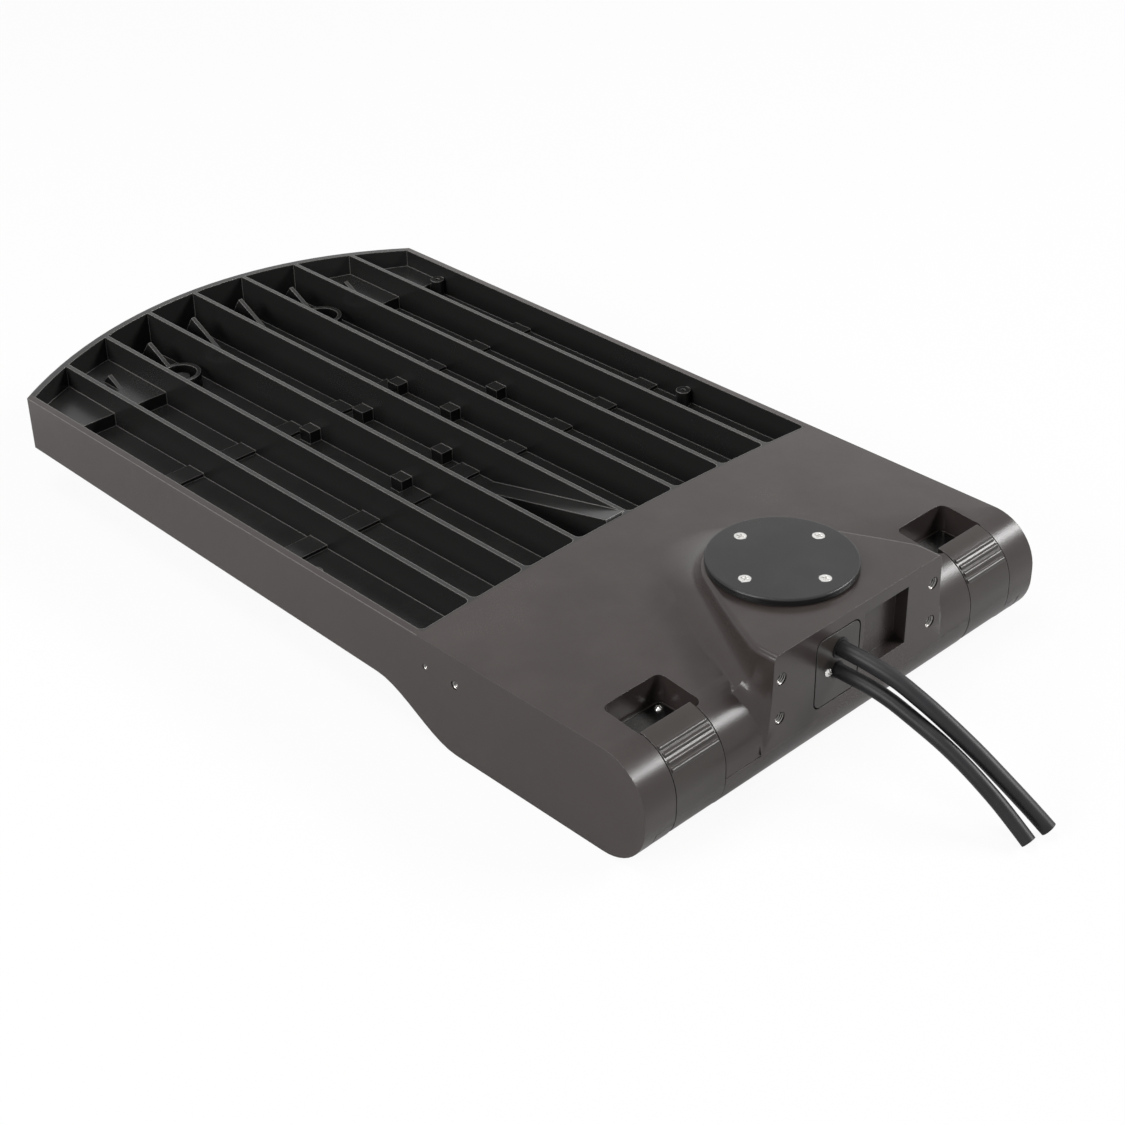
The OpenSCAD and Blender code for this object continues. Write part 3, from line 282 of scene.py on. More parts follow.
class Effects:
    """The node groups that several finishes share."""

    # Noise values between which a patch, or the grain, grows from none to full
    PATCH_SPAN: Span = (0.35, 0.68)
    GRAIN_SPAN: Span = (0.3, 0.7)
    # Cosines between the rounded and the flat normal from no edge to full edge
    EDGE_SPAN: Span = (0.995, 0.86)
    EDGE_SAMPLES: int = 6
    # Z of the normal, and noise values, between which dust grows from none to full
    FACING_UP: Span = (0.4, 1.0)
    DUST_SPAN: Span = (0.4, 0.75)
    DUST_SCALE: float = 22.0

    def __init__(self) -> None:
        """Builds each group once."""
        self.skin = self._skin()
        self.edges = self._edges()
        self.dust = self._dust()

    def _skin(self) -> bpy.types.NodeTree:
        """Builds patchy tone and fine grain.

        Returns:
            The group: Patch and Grain are values from 0 to 1.
        """
        tree = new_group(
            "skin",
            {"Where": Kind.VECTOR, "Grain Scale": Kind.VALUE, "Patch Scale": Kind.VALUE},
            {"Patch": Kind.VALUE, "Grain": Kind.VALUE},
        )
        wiring = Wiring(tree)
        start, end = tree.nodes["Group Input"].outputs, tree.nodes["Group Output"].inputs
        noise = {"kind": "ShaderNodeTexNoise", "Vector": start["Where"]}
        patch = wiring.add(**noise, Scale=start["Patch Scale"], Detail=4.0, Roughness=0.55)
        grain = wiring.add(**noise, Scale=start["Grain Scale"], Detail=2.0, Roughness=0.6)
        wiring.link(wiring.spread(patch.outputs["Fac"], self.PATCH_SPAN), end["Patch"])
        wiring.link(wiring.spread(grain.outputs["Fac"], self.GRAIN_SPAN), end["Grain"])
        return tree

    def _edges(self) -> bpy.types.NodeTree:
        """Builds rounded edges in the shading, and a mask of where they are.

        Returns:
            The group: Normal is the rounded normal and Edge is 1 on an edge.
        """
        tree = new_group("edges", {"Radius": Kind.VALUE}, {"Normal": Kind.VECTOR, "Edge": Kind.VALUE})
        wiring = Wiring(tree)
        start, end = tree.nodes["Group Input"].outputs, tree.nodes["Group Output"].inputs
        rounded = wiring.add("ShaderNodeBevel", samples=self.EDGE_SAMPLES, Radius=start["Radius"])
        flat = wiring.add("ShaderNodeNewGeometry")
        likeness = wiring.add("ShaderNodeVectorMath", operation="DOT_PRODUCT")
        wiring.link(rounded.outputs["Normal"], likeness.inputs[0])
        wiring.link(flat.outputs["Normal"], likeness.inputs[1])
        wiring.link(rounded.outputs["Normal"], end["Normal"])
        wiring.link(wiring.spread(likeness.outputs["Value"], self.EDGE_SPAN), end["Edge"])
        return tree

    def _dust(self) -> bpy.types.NodeTree:
        """Builds dust that settles on what faces up.

        Returns:
            The group: Mask is the dust's share, from 0 to 1.
        """
        tree = new_group("dust", {"Where": Kind.VECTOR, "Amount": Kind.VALUE}, {"Mask": Kind.VALUE})
        wiring = Wiring(tree)
        start, end = tree.nodes["Group Input"].outputs, tree.nodes["Group Output"].inputs
        shape = wiring.add("ShaderNodeNewGeometry")
        parts = wiring.add("ShaderNodeSeparateXYZ", Vector=shape.outputs["Normal"])
        cloud = wiring.add(
            "ShaderNodeTexNoise", Vector=start["Where"], Scale=self.DUST_SCALE, Detail=6.0, Roughness=0.7
        )
        up = wiring.spread(parts.outputs["Z"], self.FACING_UP)
        thick = wiring.math("MULTIPLY", up, wiring.spread(cloud.outputs["Fac"], self.DUST_SPAN))
        wiring.link(wiring.math("MULTIPLY", thick, start["Amount"]), end["Mask"])
        return tree


EFFECTS = Effects()


class Recipe(Wiring):
    """A node material under construction around one Principled surface."""

    def __init__(self, name: str) -> None:
        """Starts the material.

        Args:
            name: Name of the material.
        """
        self.material = bpy.data.materials.new(name)
        self.material.use_nodes = True
        super().__init__(self.material.node_tree)
        self.tree.nodes.clear()
        self.output = self.tree.nodes.new("ShaderNodeOutputMaterial")
        self.surface = self.tree.nodes.new("ShaderNodeBsdfPrincipled")
        self.link(self.surface.outputs["BSDF"], self.output.inputs["Surface"])
        self.where = self.tree.nodes.new("ShaderNodeTexCoord").outputs["Object"]

    def group(self, tree: bpy.types.NodeTree, **values: object) -> bpy.types.Node:
        """Places a shared group, fed with the piece's coordinates where it asks for them.

        Args:
            tree: The group.
            **values: Input values by name, with spaces as underscores.

        Returns:
            The group node.
        """
        node = self.tree.nodes.new("ShaderNodeGroup")
        node.node_tree = tree
        if "Where" in node.inputs:
            self.link(self.where, node.inputs["Where"])
        for key, value in values.items():
            self.feed(node.inputs[key.replace("_", " ")], value)
        return node

    def set(self, **values: object) -> None:
        """Sets or feeds the surface's own sockets.

        Args:
            **values: Values or sockets by socket name, with spaces as underscores.
        """
        for key, value in values.items():
            self.feed(self.surface.inputs[key.replace("_", " ")], value)

    def roughness(self, mask: Socket, gloss: Gloss) -> Socket:
        """Varies the roughness of a gloss by a mask.

        Args:
            mask: Mask from 0 to 1.
            gloss: The gloss.

        Returns:
            The roughness's socket.
        """
        middle, swing = gloss.value
        return self.spread(mask, FULL, (middle - swing / 2, middle + swing / 2))

    def bump(self, height: Socket, depth: float, strength: float, normal: Socket | None = None) -> None:
        """Feeds the surface's normal from a height.

        Args:
            height: Height from 0 to 1.
            depth: Height of 1 in metres.
            strength: Strength of the effect.
            normal: Normal to start from.
        """
        node = self.add("ShaderNodeBump", Distance=depth, Strength=strength, Height=height)
        if normal is not None:
            self.link(normal, node.inputs["Normal"])
        self.link(node.outputs["Normal"], self.surface.inputs["Normal"])

    def layer(self, share: object, first: Socket, second: Socket) -> Socket:
        """Mixes two shaders.

        Args:
            share: Share of the second shader.
            first: First shader's socket.
            second: Second shader's socket.

        Returns:
            The mixed shader's socket.
        """
        node = self.add("ShaderNodeMixShader")
        for target, value in zip(node.inputs, (share, first, second)):
            self.feed(target, value)
        return node.outputs[0]


@dataclass(frozen=True)
class Coat:
    """Powder coat on a casting, satin, with painted highlights on its rounded edges and painted shade in
    its pockets.

    The edge values hold on the driver box, and the fin values on the finned section.
    """

    name: str
    colour: Colour
    # Colour of the painted highlight on rounded edges
    edge_highlight_colour: Colour
    gloss: Gloss = Gloss.SATIN
    edge_radius: float = 0.0004
    fin_radius: float = 0.0010
    # Shares of the painted edge highlight on the driver box and on the fins
    edge_highlight_share: float = 0.22
    fin_highlight_share: float = 0.85
    # Near black of the painted shade in the fin pockets
    pocket_shade_colour: Colour = (0.019, 0.0185, 0.018)
    pocket_fade: float = 0.002
    patch_scale: float = 11.0
    patch_gain: float = 1.16
    grain_scale: float = 1500.0
    grain_depth: float = 0.00004
    grain_strength: float = 0.35
    patch_weight: float = 0.6
    grain_weight: float = 0.4
    dust: float = 0.03
    dust_colour: Colour = (0.34, 0.32, 0.30)
    shine: float = 0.36

    def _finned(self, recipe: Recipe) -> tuple[Socket, Socket]:
        """Masks the finned section of the casting.

        Args:
            recipe: The material under construction.

        Returns:
            Mask of the whole section, and mask of the painted pocket shade: what lies between its side
            walls and above the pocket floors, which the front wall's outer face does too.
        """
        place = recipe.add("ShaderNodeSeparateXYZ", Vector=recipe.where)
        ahead = recipe.spread(place.outputs["Y"], (FINS_START - self.pocket_fade, FINS_START))
        inside = recipe.math("LESS_THAN", recipe.math("ABSOLUTE", place.outputs["X"]), WALL_INSIDE)
        above = recipe.math("GREATER_THAN", place.outputs["Z"], FLOOR_LOW)
        return ahead, recipe.math("MULTIPLY", recipe.math("MULTIPLY", inside, above), ahead)

    def material(self) -> Material:
        """Builds the coat's material.

        Returns:
            The material.
        """
        recipe = Recipe(self.name)
        ahead, pocket = self._finned(recipe)
        skin = recipe.group(EFFECTS.skin, Grain_Scale=self.grain_scale, Patch_Scale=self.patch_scale)
        radius = recipe.spread(ahead, FULL, (self.edge_radius, self.fin_radius))
        edges = recipe.group(EFFECTS.edges, Radius=radius)
        dust = recipe.group(EFFECTS.dust, Amount=self.dust)
        tone = recipe.blend(skin.outputs["Patch"], self.colour, scaled(self.colour, self.patch_gain))
        # Painted shade: the fin pockets, and the front wall's outer face above their floors, are darkened
        tone = recipe.blend(pocket, tone, self.pocket_shade_colour)
        share = recipe.spread(ahead, FULL, (self.edge_highlight_share, self.fin_highlight_share))
        # Painted highlight: rounded edges, most of all the fin tops, are lightened towards the edge colour
        tone = recipe.blend(recipe.math("MULTIPLY", edges.outputs["Edge"], share), tone, self.edge_highlight_colour)
        tone = recipe.blend(dust.outputs["Mask"], tone, self.dust_colour)
        patches = recipe.math("MULTIPLY", skin.outputs["Patch"], self.patch_weight)
        grains = recipe.math("MULTIPLY", skin.outputs["Grain"], self.grain_weight)
        recipe.set(
            Base_Color=tone,
            Roughness=recipe.roughness(recipe.math("ADD", patches, grains), self.gloss),
            Specular_IOR_Level=self.shine,
        )
        recipe.bump(skin.outputs["Grain"], self.grain_depth, self.grain_strength, edges.outputs["Normal"])
        return recipe.material


@dataclass(frozen=True)
class Rubber:
    """Black rubber or plastic with a fine matt skin."""

    name: str
    colour: Colour
    gloss: Gloss = Gloss.MATT
    patch_scale: float = 40.0
    patch_gain: float = 1.5
    patch_lift: float = 0.004
    grain_scale: float = 900.0
    grain_depth: float = 0.00003
    grain_strength: float = 0.12
    dust: float = 0.06
    dust_colour: Colour = (0.3, 0.29, 0.28)
    shine: float = 0.3

    def material(self) -> Material:
        """Builds the rubber's material.

        Returns:
            The material.
        """
        recipe = Recipe(self.name)
        skin = recipe.group(EFFECTS.skin, Grain_Scale=self.grain_scale, Patch_Scale=self.patch_scale)
        dust = recipe.group(EFFECTS.dust, Amount=self.dust)
        lighter = scaled(self.colour, self.patch_gain, self.patch_lift)
        tone = recipe.blend(skin.outputs["Patch"], self.colour, lighter)
        recipe.set(
            Base_Color=recipe.blend(dust.outputs["Mask"], tone, self.dust_colour),
            Roughness=recipe.roughness(skin.outputs["Patch"], self.gloss),
            Specular_IOR_Level=self.shine,
        )
        recipe.bump(skin.outputs["Grain"], self.grain_depth, self.grain_strength)
        return recipe.material


@dataclass(frozen=True)
class Steel:
    """Bare metal with fine turning or rolling marks."""

    name: str
    colour: Colour
    gloss: Gloss = Gloss.SMOOTH
    patch_scale: float = 120.0
    patch_gain: float = 0.78
    mark_scale: float = 2500.0
    mark_depth: float = 0.00003
    mark_strength: float = 0.25
    edge_radius: float = 0.0002

    def material(self) -> Material:
        """Builds the metal's material.

        Returns:
            The material.
        """
        recipe = Recipe(self.name)
        skin = recipe.group(EFFECTS.skin, Grain_Scale=self.mark_scale, Patch_Scale=self.patch_scale)
        edges = recipe.group(EFFECTS.edges, Radius=self.edge_radius)
        darker = scaled(self.colour, self.patch_gain)
        recipe.set(
            Base_Color=recipe.blend(skin.outputs["Patch"], self.colour, darker),
            Metallic=1.0,
            Roughness=recipe.roughness(skin.outputs["Grain"], self.gloss),
        )
        recipe.bump(skin.outputs["Grain"], self.mark_depth, self.mark_strength, edges.outputs["Normal"])
        return recipe.material


@dataclass(frozen=True)
class Plastic:
    """Moulded plastic with a faint skin."""

    name: str
    colour: Colour
    gloss: Gloss = Gloss.SATIN
    patch_scale: float = 60.0
    patch_gain: float = 0.85
    grain_scale: float = 1100.0
    grain_depth: float = 0.00005
    grain_strength: float = 0.25

    def material(self) -> Material:
        """Builds the plastic's material.

        Returns:
            The material.
        """
        recipe = Recipe(self.name)
        skin = recipe.group(EFFECTS.skin, Grain_Scale=self.grain_scale, Patch_Scale=self.patch_scale)
        darker = scaled(self.colour, self.patch_gain)
        recipe.set(
            Base_Color=recipe.blend(skin.outputs["Patch"], self.colour, darker),
            Roughness=recipe.roughness(skin.outputs["Patch"], self.gloss),
        )
        recipe.bump(skin.outputs["Grain"], self.grain_depth, self.grain_strength)
        return recipe.material


@dataclass(frozen=True)
class ClearLens:
    """Clear moulded acrylic of the lens plates."""

    name: str = "lens_acrylic"
    tint: Colour = (0.92, 0.95, 0.96)
    deep_tint: Colour = (0.86, 0.90, 0.92)
    roughness: Span = (0.04, 0.09)
    refraction: float = 1.49
    patch_scale: float = 30.0
    grain_scale: float = 500.0
    grain_depth: float = 0.00002
    grain_strength: float = 0.1

    def material(self) -> Material:
        """Builds the lens material.

        Returns:
            The material.
        """
        recipe = Recipe(self.name)
        skin = recipe.group(EFFECTS.skin, Grain_Scale=self.grain_scale, Patch_Scale=self.patch_scale)
        recipe.set(
            Base_Color=recipe.blend(skin.outputs["Patch"], self.tint, self.deep_tint),
            Roughness=recipe.spread(skin.outputs["Patch"], FULL, self.roughness),
            Transmission_Weight=1.0,
            IOR=self.refraction,
        )
        recipe.bump(skin.outputs["Grain"], self.grain_depth, self.grain_strength)
        return recipe.material


@dataclass(frozen=True)
class LedBoard:
    """White solder mask with yellow light emitters under it."""

    name: str = "led_board"
    board_face: float = 0.03835
    mask_colour: Colour = (0.80, 0.81, 0.79)
    mask_shade: Colour = (0.72, 0.73, 0.71)
    emitter_colour: Colour = (0.82, 0.62, 0.16)
    roughness: Span = (0.4, 0.5)
    patch_scale: float = 50.0
    grain_scale: float = 700.0
    grain_depth: float = 0.00004
    grain_strength: float = 0.2

    def material(self) -> Material:
        """Builds the board's material.

        Returns:
            The material.
        """
        recipe = Recipe(self.name)
        skin = recipe.group(EFFECTS.skin, Grain_Scale=self.grain_scale, Patch_Scale=self.patch_scale)
        place = recipe.add("ShaderNodeSeparateXYZ", Vector=recipe.where)
        below = recipe.math("LESS_THAN", place.outputs["Z"], self.board_face)
        mask = recipe.blend(skin.outputs["Patch"], self.mask_colour, self.mask_shade)
        recipe.set(
            Base_Color=recipe.blend(below, mask, self.emitter_colour),
            Roughness=recipe.spread(skin.outputs["Patch"], FULL, self.roughness),
        )
        recipe.bump(skin.outputs["Grain"], self.grain_depth, self.grain_strength)
        return recipe.material


def show(piece: bpy.types.Object, material: Material) -> None:
    """Puts one material on a whole piece.

    Args:
        piece: The piece.
        material: Its finish.
    """
    if piece.material_slots:
        for place in piece.material_slots:
            place.material = material
    else:
        piece.data.materials.append(material)


def finish_mesh(shape: bmesh.types.BMesh, name: str, crease: float = CREASE) -> bpy.types.Object:
    """Turns a bmesh into a smooth shaded object with its sharp edges kept.

    Args:
        shape: The bmesh, which is freed.
        name: Name of the piece.
        crease: Angle in degrees past which an edge stays sharp.

    Returns:
        The new object at the origin.
    """
    for face in shape.faces:
        face.smooth = True
    for edge in shape.edges:
        edge.smooth = len(edge.link_faces) != 2 or edge.calc_face_angle(math.pi) < math.radians(crease)
    piece = new_object(name, mesh_from(shape, name))
    weighted = piece.modifiers.new("weighted_normals", "WEIGHTED_NORMAL")
    weighted.keep_sharp = True
    weighted.mode = "FACE_AREA_WITH_ANGLE"
    return piece


def refined(node: str, name: str, material: Material) -> None:
    """Makes a smooth shaded piece from a merged copy of a CAD node, which it replaces.

    Args:
        node: The CAD node, whose body the piece rides on.
        name: Name of the piece.
        material: Its finish.
    """
    source = frame["nodes"][node]
    shape = bmesh.new()
    shape.from_mesh(source.data)
    bmesh.ops.remove_doubles(shape, verts=shape.verts, dist=MERGE)
    piece = finish_mesh(shape, name)
    show(piece, material)
    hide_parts(node)
    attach(piece, source["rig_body"])


@dataclass(frozen=True)
class SoftBox:
    """One soft box: an area lamp that points at a target."""

    name: str
    place: Point
    target: Point
    size: Span
    power: float

    def build(self) -> None:
        """Adds the lamp."""
        data = bpy.data.lights.new(self.name, "AREA")
        data.shape, data.energy = "RECTANGLE", self.power
        data.size, data.size_y = self.size
        lamp = new_object(self.name, data)
        lamp.location = self.place
        lamp.rotation_mode = "QUATERNION"
        lamp.rotation_quaternion = (Vector(self.target) - Vector(self.place)).to_track_quat("-Z", "Y")


@dataclass
class Studio:
    """Camera, floor and soft light, in metres and degrees.

    fill is how much the world lights the object, and floor_glow how much of the floor is plain
    white to the camera.
    """

    camera_place: Point = (-0.79494, -0.90898, 0.75015)
    heading: float = 43.622
    pitch: float = 32.583
    roll: float = -0.994
    focal_px: float = 2144.38
    picture_px: float = 1125.0
    sensor: float = 36.0
    clip: Span = (0.05, 60.0)
    lamps: tuple[SoftBox, ...] = (
        SoftBox("overhead_box", (-0.5, 0.3, 2.5), (0.0, 0.0, 0.0), (1.6, 1.1), 24.0),
        SoftBox("rear_box", (2.0, -1.75, 1.9), (0.0, -0.3, 0.0), (2.0, 0.5), 74.0),
        SoftBox("left_box", (-2.4, 0.2, 1.3), (0.0, 0.0, 0.0), (1.4, 0.8), 42.0),
    )
    fill: float = 0.12
    floor_half: float = 9.0
    floor_drop: float = 0.0004
    floor_glow: float = 0.93
    floor_colour: Colour = (0.86, 0.86, 0.86)
    floor_roughness: float = 0.9
    floor_shine: float = 0.1
    white: Colour = (1.0, 1.0, 1.0)

    def camera(self) -> None:
        """Sets up the camera at the photograph's place."""
        data = bpy.data.cameras.new("camera")
        data.sensor_width = self.sensor
        data.lens = self.focal_px / self.picture_px * self.sensor
        data.clip_start, data.clip_end = self.clip
        camera = new_object("camera", data)
        turn = Matrix.Rotation(math.radians(-self.heading), 4, "Z")
        tilt = Matrix.Rotation(math.radians(90.0 - self.pitch), 4, "X")
        lean = Matrix.Rotation(math.radians(self.roll), 4, "Z")
        camera.matrix_world = Matrix.Translation(self.camera_place) @ turn @ tilt @ lean
        bpy.context.scene.camera = camera

    def surroundings(self) -> None:
        """Makes a world that looks white but lights the object only faintly."""
        world = bpy.data.worlds.new("studio")
        bpy.context.scene.world = world
        world.use_nodes = True
        wiring = Wiring(world.node_tree)
        world.node_tree.nodes.clear()
        path = wiring.add("ShaderNodeLightPath").outputs
        seen = wiring.math("MAXIMUM", path["Is Camera Ray"], path["Is Transmission Ray"])
        seen = wiring.math("MAXIMUM", seen, path["Is Glossy Ray"])
        strength = wiring.spread(seen, FULL, (self.fill, 1.0))
        back = wiring.add("ShaderNodeBackground", Color=self.white, Strength=strength)
        wiring.add("ShaderNodeOutputWorld", Surface=back.outputs[0])

    def paper(self) -> Material:
        """Builds the floor's material: white to the camera, and clear from below.

        Returns:
            The material.
        """
        recipe = Recipe("floor_paper")
        recipe.set(
            Base_Color=self.floor_colour,
            Roughness=self.floor_roughness,
            Specular_IOR_Level=self.floor_shine,
        )
        glow = recipe.add("ShaderNodeEmission", Color=self.white, Strength=1.0)
        path = recipe.add("ShaderNodeLightPath")
        share = recipe.math("MULTIPLY", path.outputs["Is Camera Ray"], self.floor_glow)
        lit = recipe.layer(share, recipe.surface.outputs[0], glow.outputs[0])
        below = recipe.add("ShaderNodeNewGeometry").outputs["Backfacing"]
        clear = recipe.add("ShaderNodeBsdfTransparent")
        sheet = recipe.layer(below, lit, clear.outputs[0])
        recipe.link(sheet, recipe.output.inputs["Surface"])
        return recipe.material

    def floor(self) -> None:
        """Lays a pale floor that keeps the light's shadow."""
        shape = bmesh.new()
        bmesh.ops.create_grid(shape, x_segments=1, y_segments=1, size=self.floor_half)
        floor = new_object("floor", mesh_from(shape, "floor"))
        floor.location.z = -self.floor_drop
        show(floor, self.paper())

    def build(self) -> None:
        """Sets up the whole studio."""
        bpy.context.scene.view_settings.view_transform = "Standard"
        self.camera()
        for lamp in self.lamps:
            lamp.build()
        self.surroundings()
        self.floor()
        LOG.info("studio")


@dataclass
class Cable:
    """One free cable with its sheath and cut end.

    Sizes are in metres, and first_turn in radians. The route and exit_y are in millimetres from
    the boss's rear face, and exit_y is not used. The pair and trio shares say how far the cores of a
    cable with two or three of them lie from its middle, in core radii.
    """

    name: str
    node: str
    route: tuple[Point, ...]
    diameter: float
    sheath: Material
    copper: Material
    cores: tuple[Material, ...]
    exit_y: float = -0.7
    roundness: int = 6
    core_r: float = 0.00145
    core_out: float = 0.0002
    strand_r: float = 0.0008
    strand_out: float = 0.0004
    stub_sides: int = 20
    sunk: float = 0.0005
    first_turn: float = 0.4
    pair_share: float = 1.03
    trio_share: float = 1.2

    def _smooth_route(self) -> list[Vector]:
        """Doubles the route's points along a smooth curve, by the four-point midpoint rule.

        Returns:
            Points in metres in the part's frame.
        """
        points = [Vector(from_rear(*point)) for point in self.route]
        points = [points[0] * 2 - points[1], *points, points[-1] * 2 - points[-2]]
        smooth: list[Vector] = []
        for i in range(1, len(points) - 2):
            before, here, there, after = points[i - 1 : i + 3]
            smooth.append(here)
            smooth.append((here * 9 + there * 9 - before - after) / 16)
        smooth.append(points[-2])
        return smooth

    def _line(self, points: list[Vector]) -> bpy.types.Object:
        """Makes the sheath as a curve of one open spline.

        Args:
            points: Points of its middle line.

        Returns:
            The cable.
        """
        data = bpy.data.curves.new(self.name, "CURVE")
        data.dimensions = "3D"
        data.bevel_depth = self.diameter / 2
        data.bevel_resolution = self.roundness
        data.use_fill_caps = True
        data.twist_mode = "MINIMUM"
        line = data.splines.new("POLY")
        line.points.add(len(points) - 1)
        for target, point in zip(line.points, points):
            target.co = (*point, 1.0)
        line.use_smooth = True
        cable = new_object(self.name, data)
        show(cable, self.sheath)
        return cable

    def _stub(
        self, name: str, foot: Vector, along: Vector, size: Span, finish: Material
    ) -> bpy.types.Object:
        """Makes a short round stub that stands out of the cut face.

        Args:
            name: Name of the piece.
            foot: Where it meets the cut face.
            along: Direction of the cable there.
            size: Its radius and how far it stands out.
            finish: Its material.

        Returns:
            The stub, riding with the housing.
        """
        radius, out = size
        turn = along.to_track_quat("Z", "Y").to_matrix().to_4x4()
        place = Matrix.Translation(foot + along * (out / 2 - self.sunk)) @ turn
        shape = bmesh.new()
        bmesh.ops.create_cone(
            shape, cap_ends=True, segments=self.stub_sides, radius1=radius, radius2=radius,
            depth=out + self.sunk * 2, matrix=place,
        )
        piece = finish_mesh(shape, name)
        show(piece, finish)
        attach(piece, HOUSING)
        return piece

    def _cut_end(self, tip: Vector, along: Vector) -> list[bpy.types.Object]:
        """Makes the cores and strands that show at the cut.

        Args:
            tip: Middle of the cut face.
            along: Direction of the cable there.

        Returns:
            The small pieces.
        """
        side = along.cross(Vector((0.0, 0.0, 1.0))).normalized()
        ring = self.core_r * (self.trio_share if len(self.cores) > 2 else self.pair_share)
        core, strand = (self.core_r, self.core_out), (self.strand_r, self.strand_out)
        pieces = []
        for i, finish in enumerate(self.cores):
            turn = Matrix.Rotation(math.tau * i / len(self.cores) + self.first_turn, 3, along)
            foot = tip + turn @ side * ring
            pieces.append(self._stub(f"{self.name}_core_{i + 1}", foot, along, core, finish))
            pieces.append(self._stub(f"{self.name}_strands_{i + 1}", foot, along, strand, self.copper))
        return pieces

    def build(self) -> None:
        """Builds the cable as one curve and its cut end as small pieces."""
        points = self._smooth_route()
        cable = self._line(points)
        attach(cable, HOUSING)
        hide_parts(self.node)
        ends = self._cut_end(points[-1], (points[-1] - points[-2]).normalized())


class Looks:
    """The finishes of the light, built once."""

    def __init__(self) -> None:
        """Builds every material."""
        bronze, glint = (0.039, 0.031, 0.029), (0.26, 0.25, 0.24)
        latch, cap, plate = (0.040, 0.034, 0.031), (0.012, 0.012, 0.012), (0.038, 0.033, 0.030)
        self.casting = Coat("casting_coat", bronze, glint).material()
        self.door = Coat("door_coat", bronze, glint).material()
        self.latch = Coat("latch_coat", latch, glint, Gloss.SMOOTH, edge_radius=0.0005).material()
        self.cap = Coat("cap_coat", cap, glint, edge_radius=0.0008).material()
        self.plate = Coat("plate_coat", plate, glint, Gloss.SMOOTH, edge_radius=0.0006).material()
        self.rubber = Rubber("gasket_rubber", (0.010, 0.010, 0.010)).material()
        self.bushing = Rubber("bushing_rubber", (0.006, 0.006, 0.006), Gloss.WAXY).material()
        sheath = Rubber("cable_sheath", (0.006, 0.006, 0.007), Gloss.WAXY, grain_scale=1600.0)
        self.sheath = sheath.material()
        self.screws = Steel("screw_steel", (0.80, 0.79, 0.77)).material()
        self.spring = Steel("spring_steel", (0.07, 0.068, 0.066), Gloss.SATIN).material()
        # The threads' metal is bare aluminium darkened to about a quarter, partly painted shade of the
        # bores
        self.thread = Steel("cut_threads", (0.26, 0.25, 0.24), Gloss.SATIN).material()
        self.pins = Steel("pin_steel", (0.6, 0.6, 0.61)).material()
        self.zinc = Steel("zinc_sheet", (0.62, 0.63, 0.65), Gloss.SATIN, mark_scale=800.0).material()
        self.case = Steel("driver_case", (0.52, 0.53, 0.54), Gloss.MATT, mark_scale=600.0).material()
        self.copper = Steel("copper_strands", (0.72, 0.38, 0.22)).material()
        self.core_white = Plastic("core_white", (0.62, 0.62, 0.60)).material()
        self.vent = Plastic("vent_nylon", (0.015, 0.015, 0.015)).material()
        self.surge = Plastic("surge_case", (0.02, 0.02, 0.022)).material()
        self.nylon = Plastic("block_nylon", (0.75, 0.75, 0.72)).material()
        self.green = Plastic("ground_green", (0.04, 0.22, 0.07)).material()
        self.red = Plastic("lead_red", (0.42, 0.02, 0.02)).material()
        self.lead_green = Plastic("lead_green", (0.03, 0.16, 0.06)).material()
        self.black = Plastic("lead_black", (0.012, 0.012, 0.012)).material()
        self.violet = Plastic("lead_violet", (0.18, 0.06, 0.28)).material()
        self.board = LedBoard().material()
        self.lens = ClearLens().material()


@dataclass
class Shell:
    """The outer pieces: castings, cover, cable plate and what holds them."""

    looks: Looks

    def build(self) -> None:
        """Makes each one's smooth piece."""
        looks = self.looks
        for node, name, material in (
            ("main_housing", "housing_casting", looks.casting),
            ("driver_door", "door_casting", looks.door),
            ("latch_left", "latch_lever_left", looks.latch),
            ("latch_right", "latch_lever_right", looks.latch),
            ("mount_cap", "round_cover", looks.cap),
            ("gland_plate", "cable_plate", looks.plate),
            ("cable_bushings", "plate_bushings", looks.bushing),
            ("cap_screws", "cover_screws", looks.screws),
            ("gland_screw", "plate_screw", looks.screws),
            ("keeper_screws", "strip_screws", looks.screws),
            ("latch_keepers", "spring_strips", looks.spring),
            ("vent_plugs", "breather_plugs", looks.vent),
            ("cap_gasket", "cover_gasket", looks.rubber),
            ("gland_gasket", "plate_gasket", looks.rubber),
        ):
            refined(node, name, material)
            LOG.info(name)


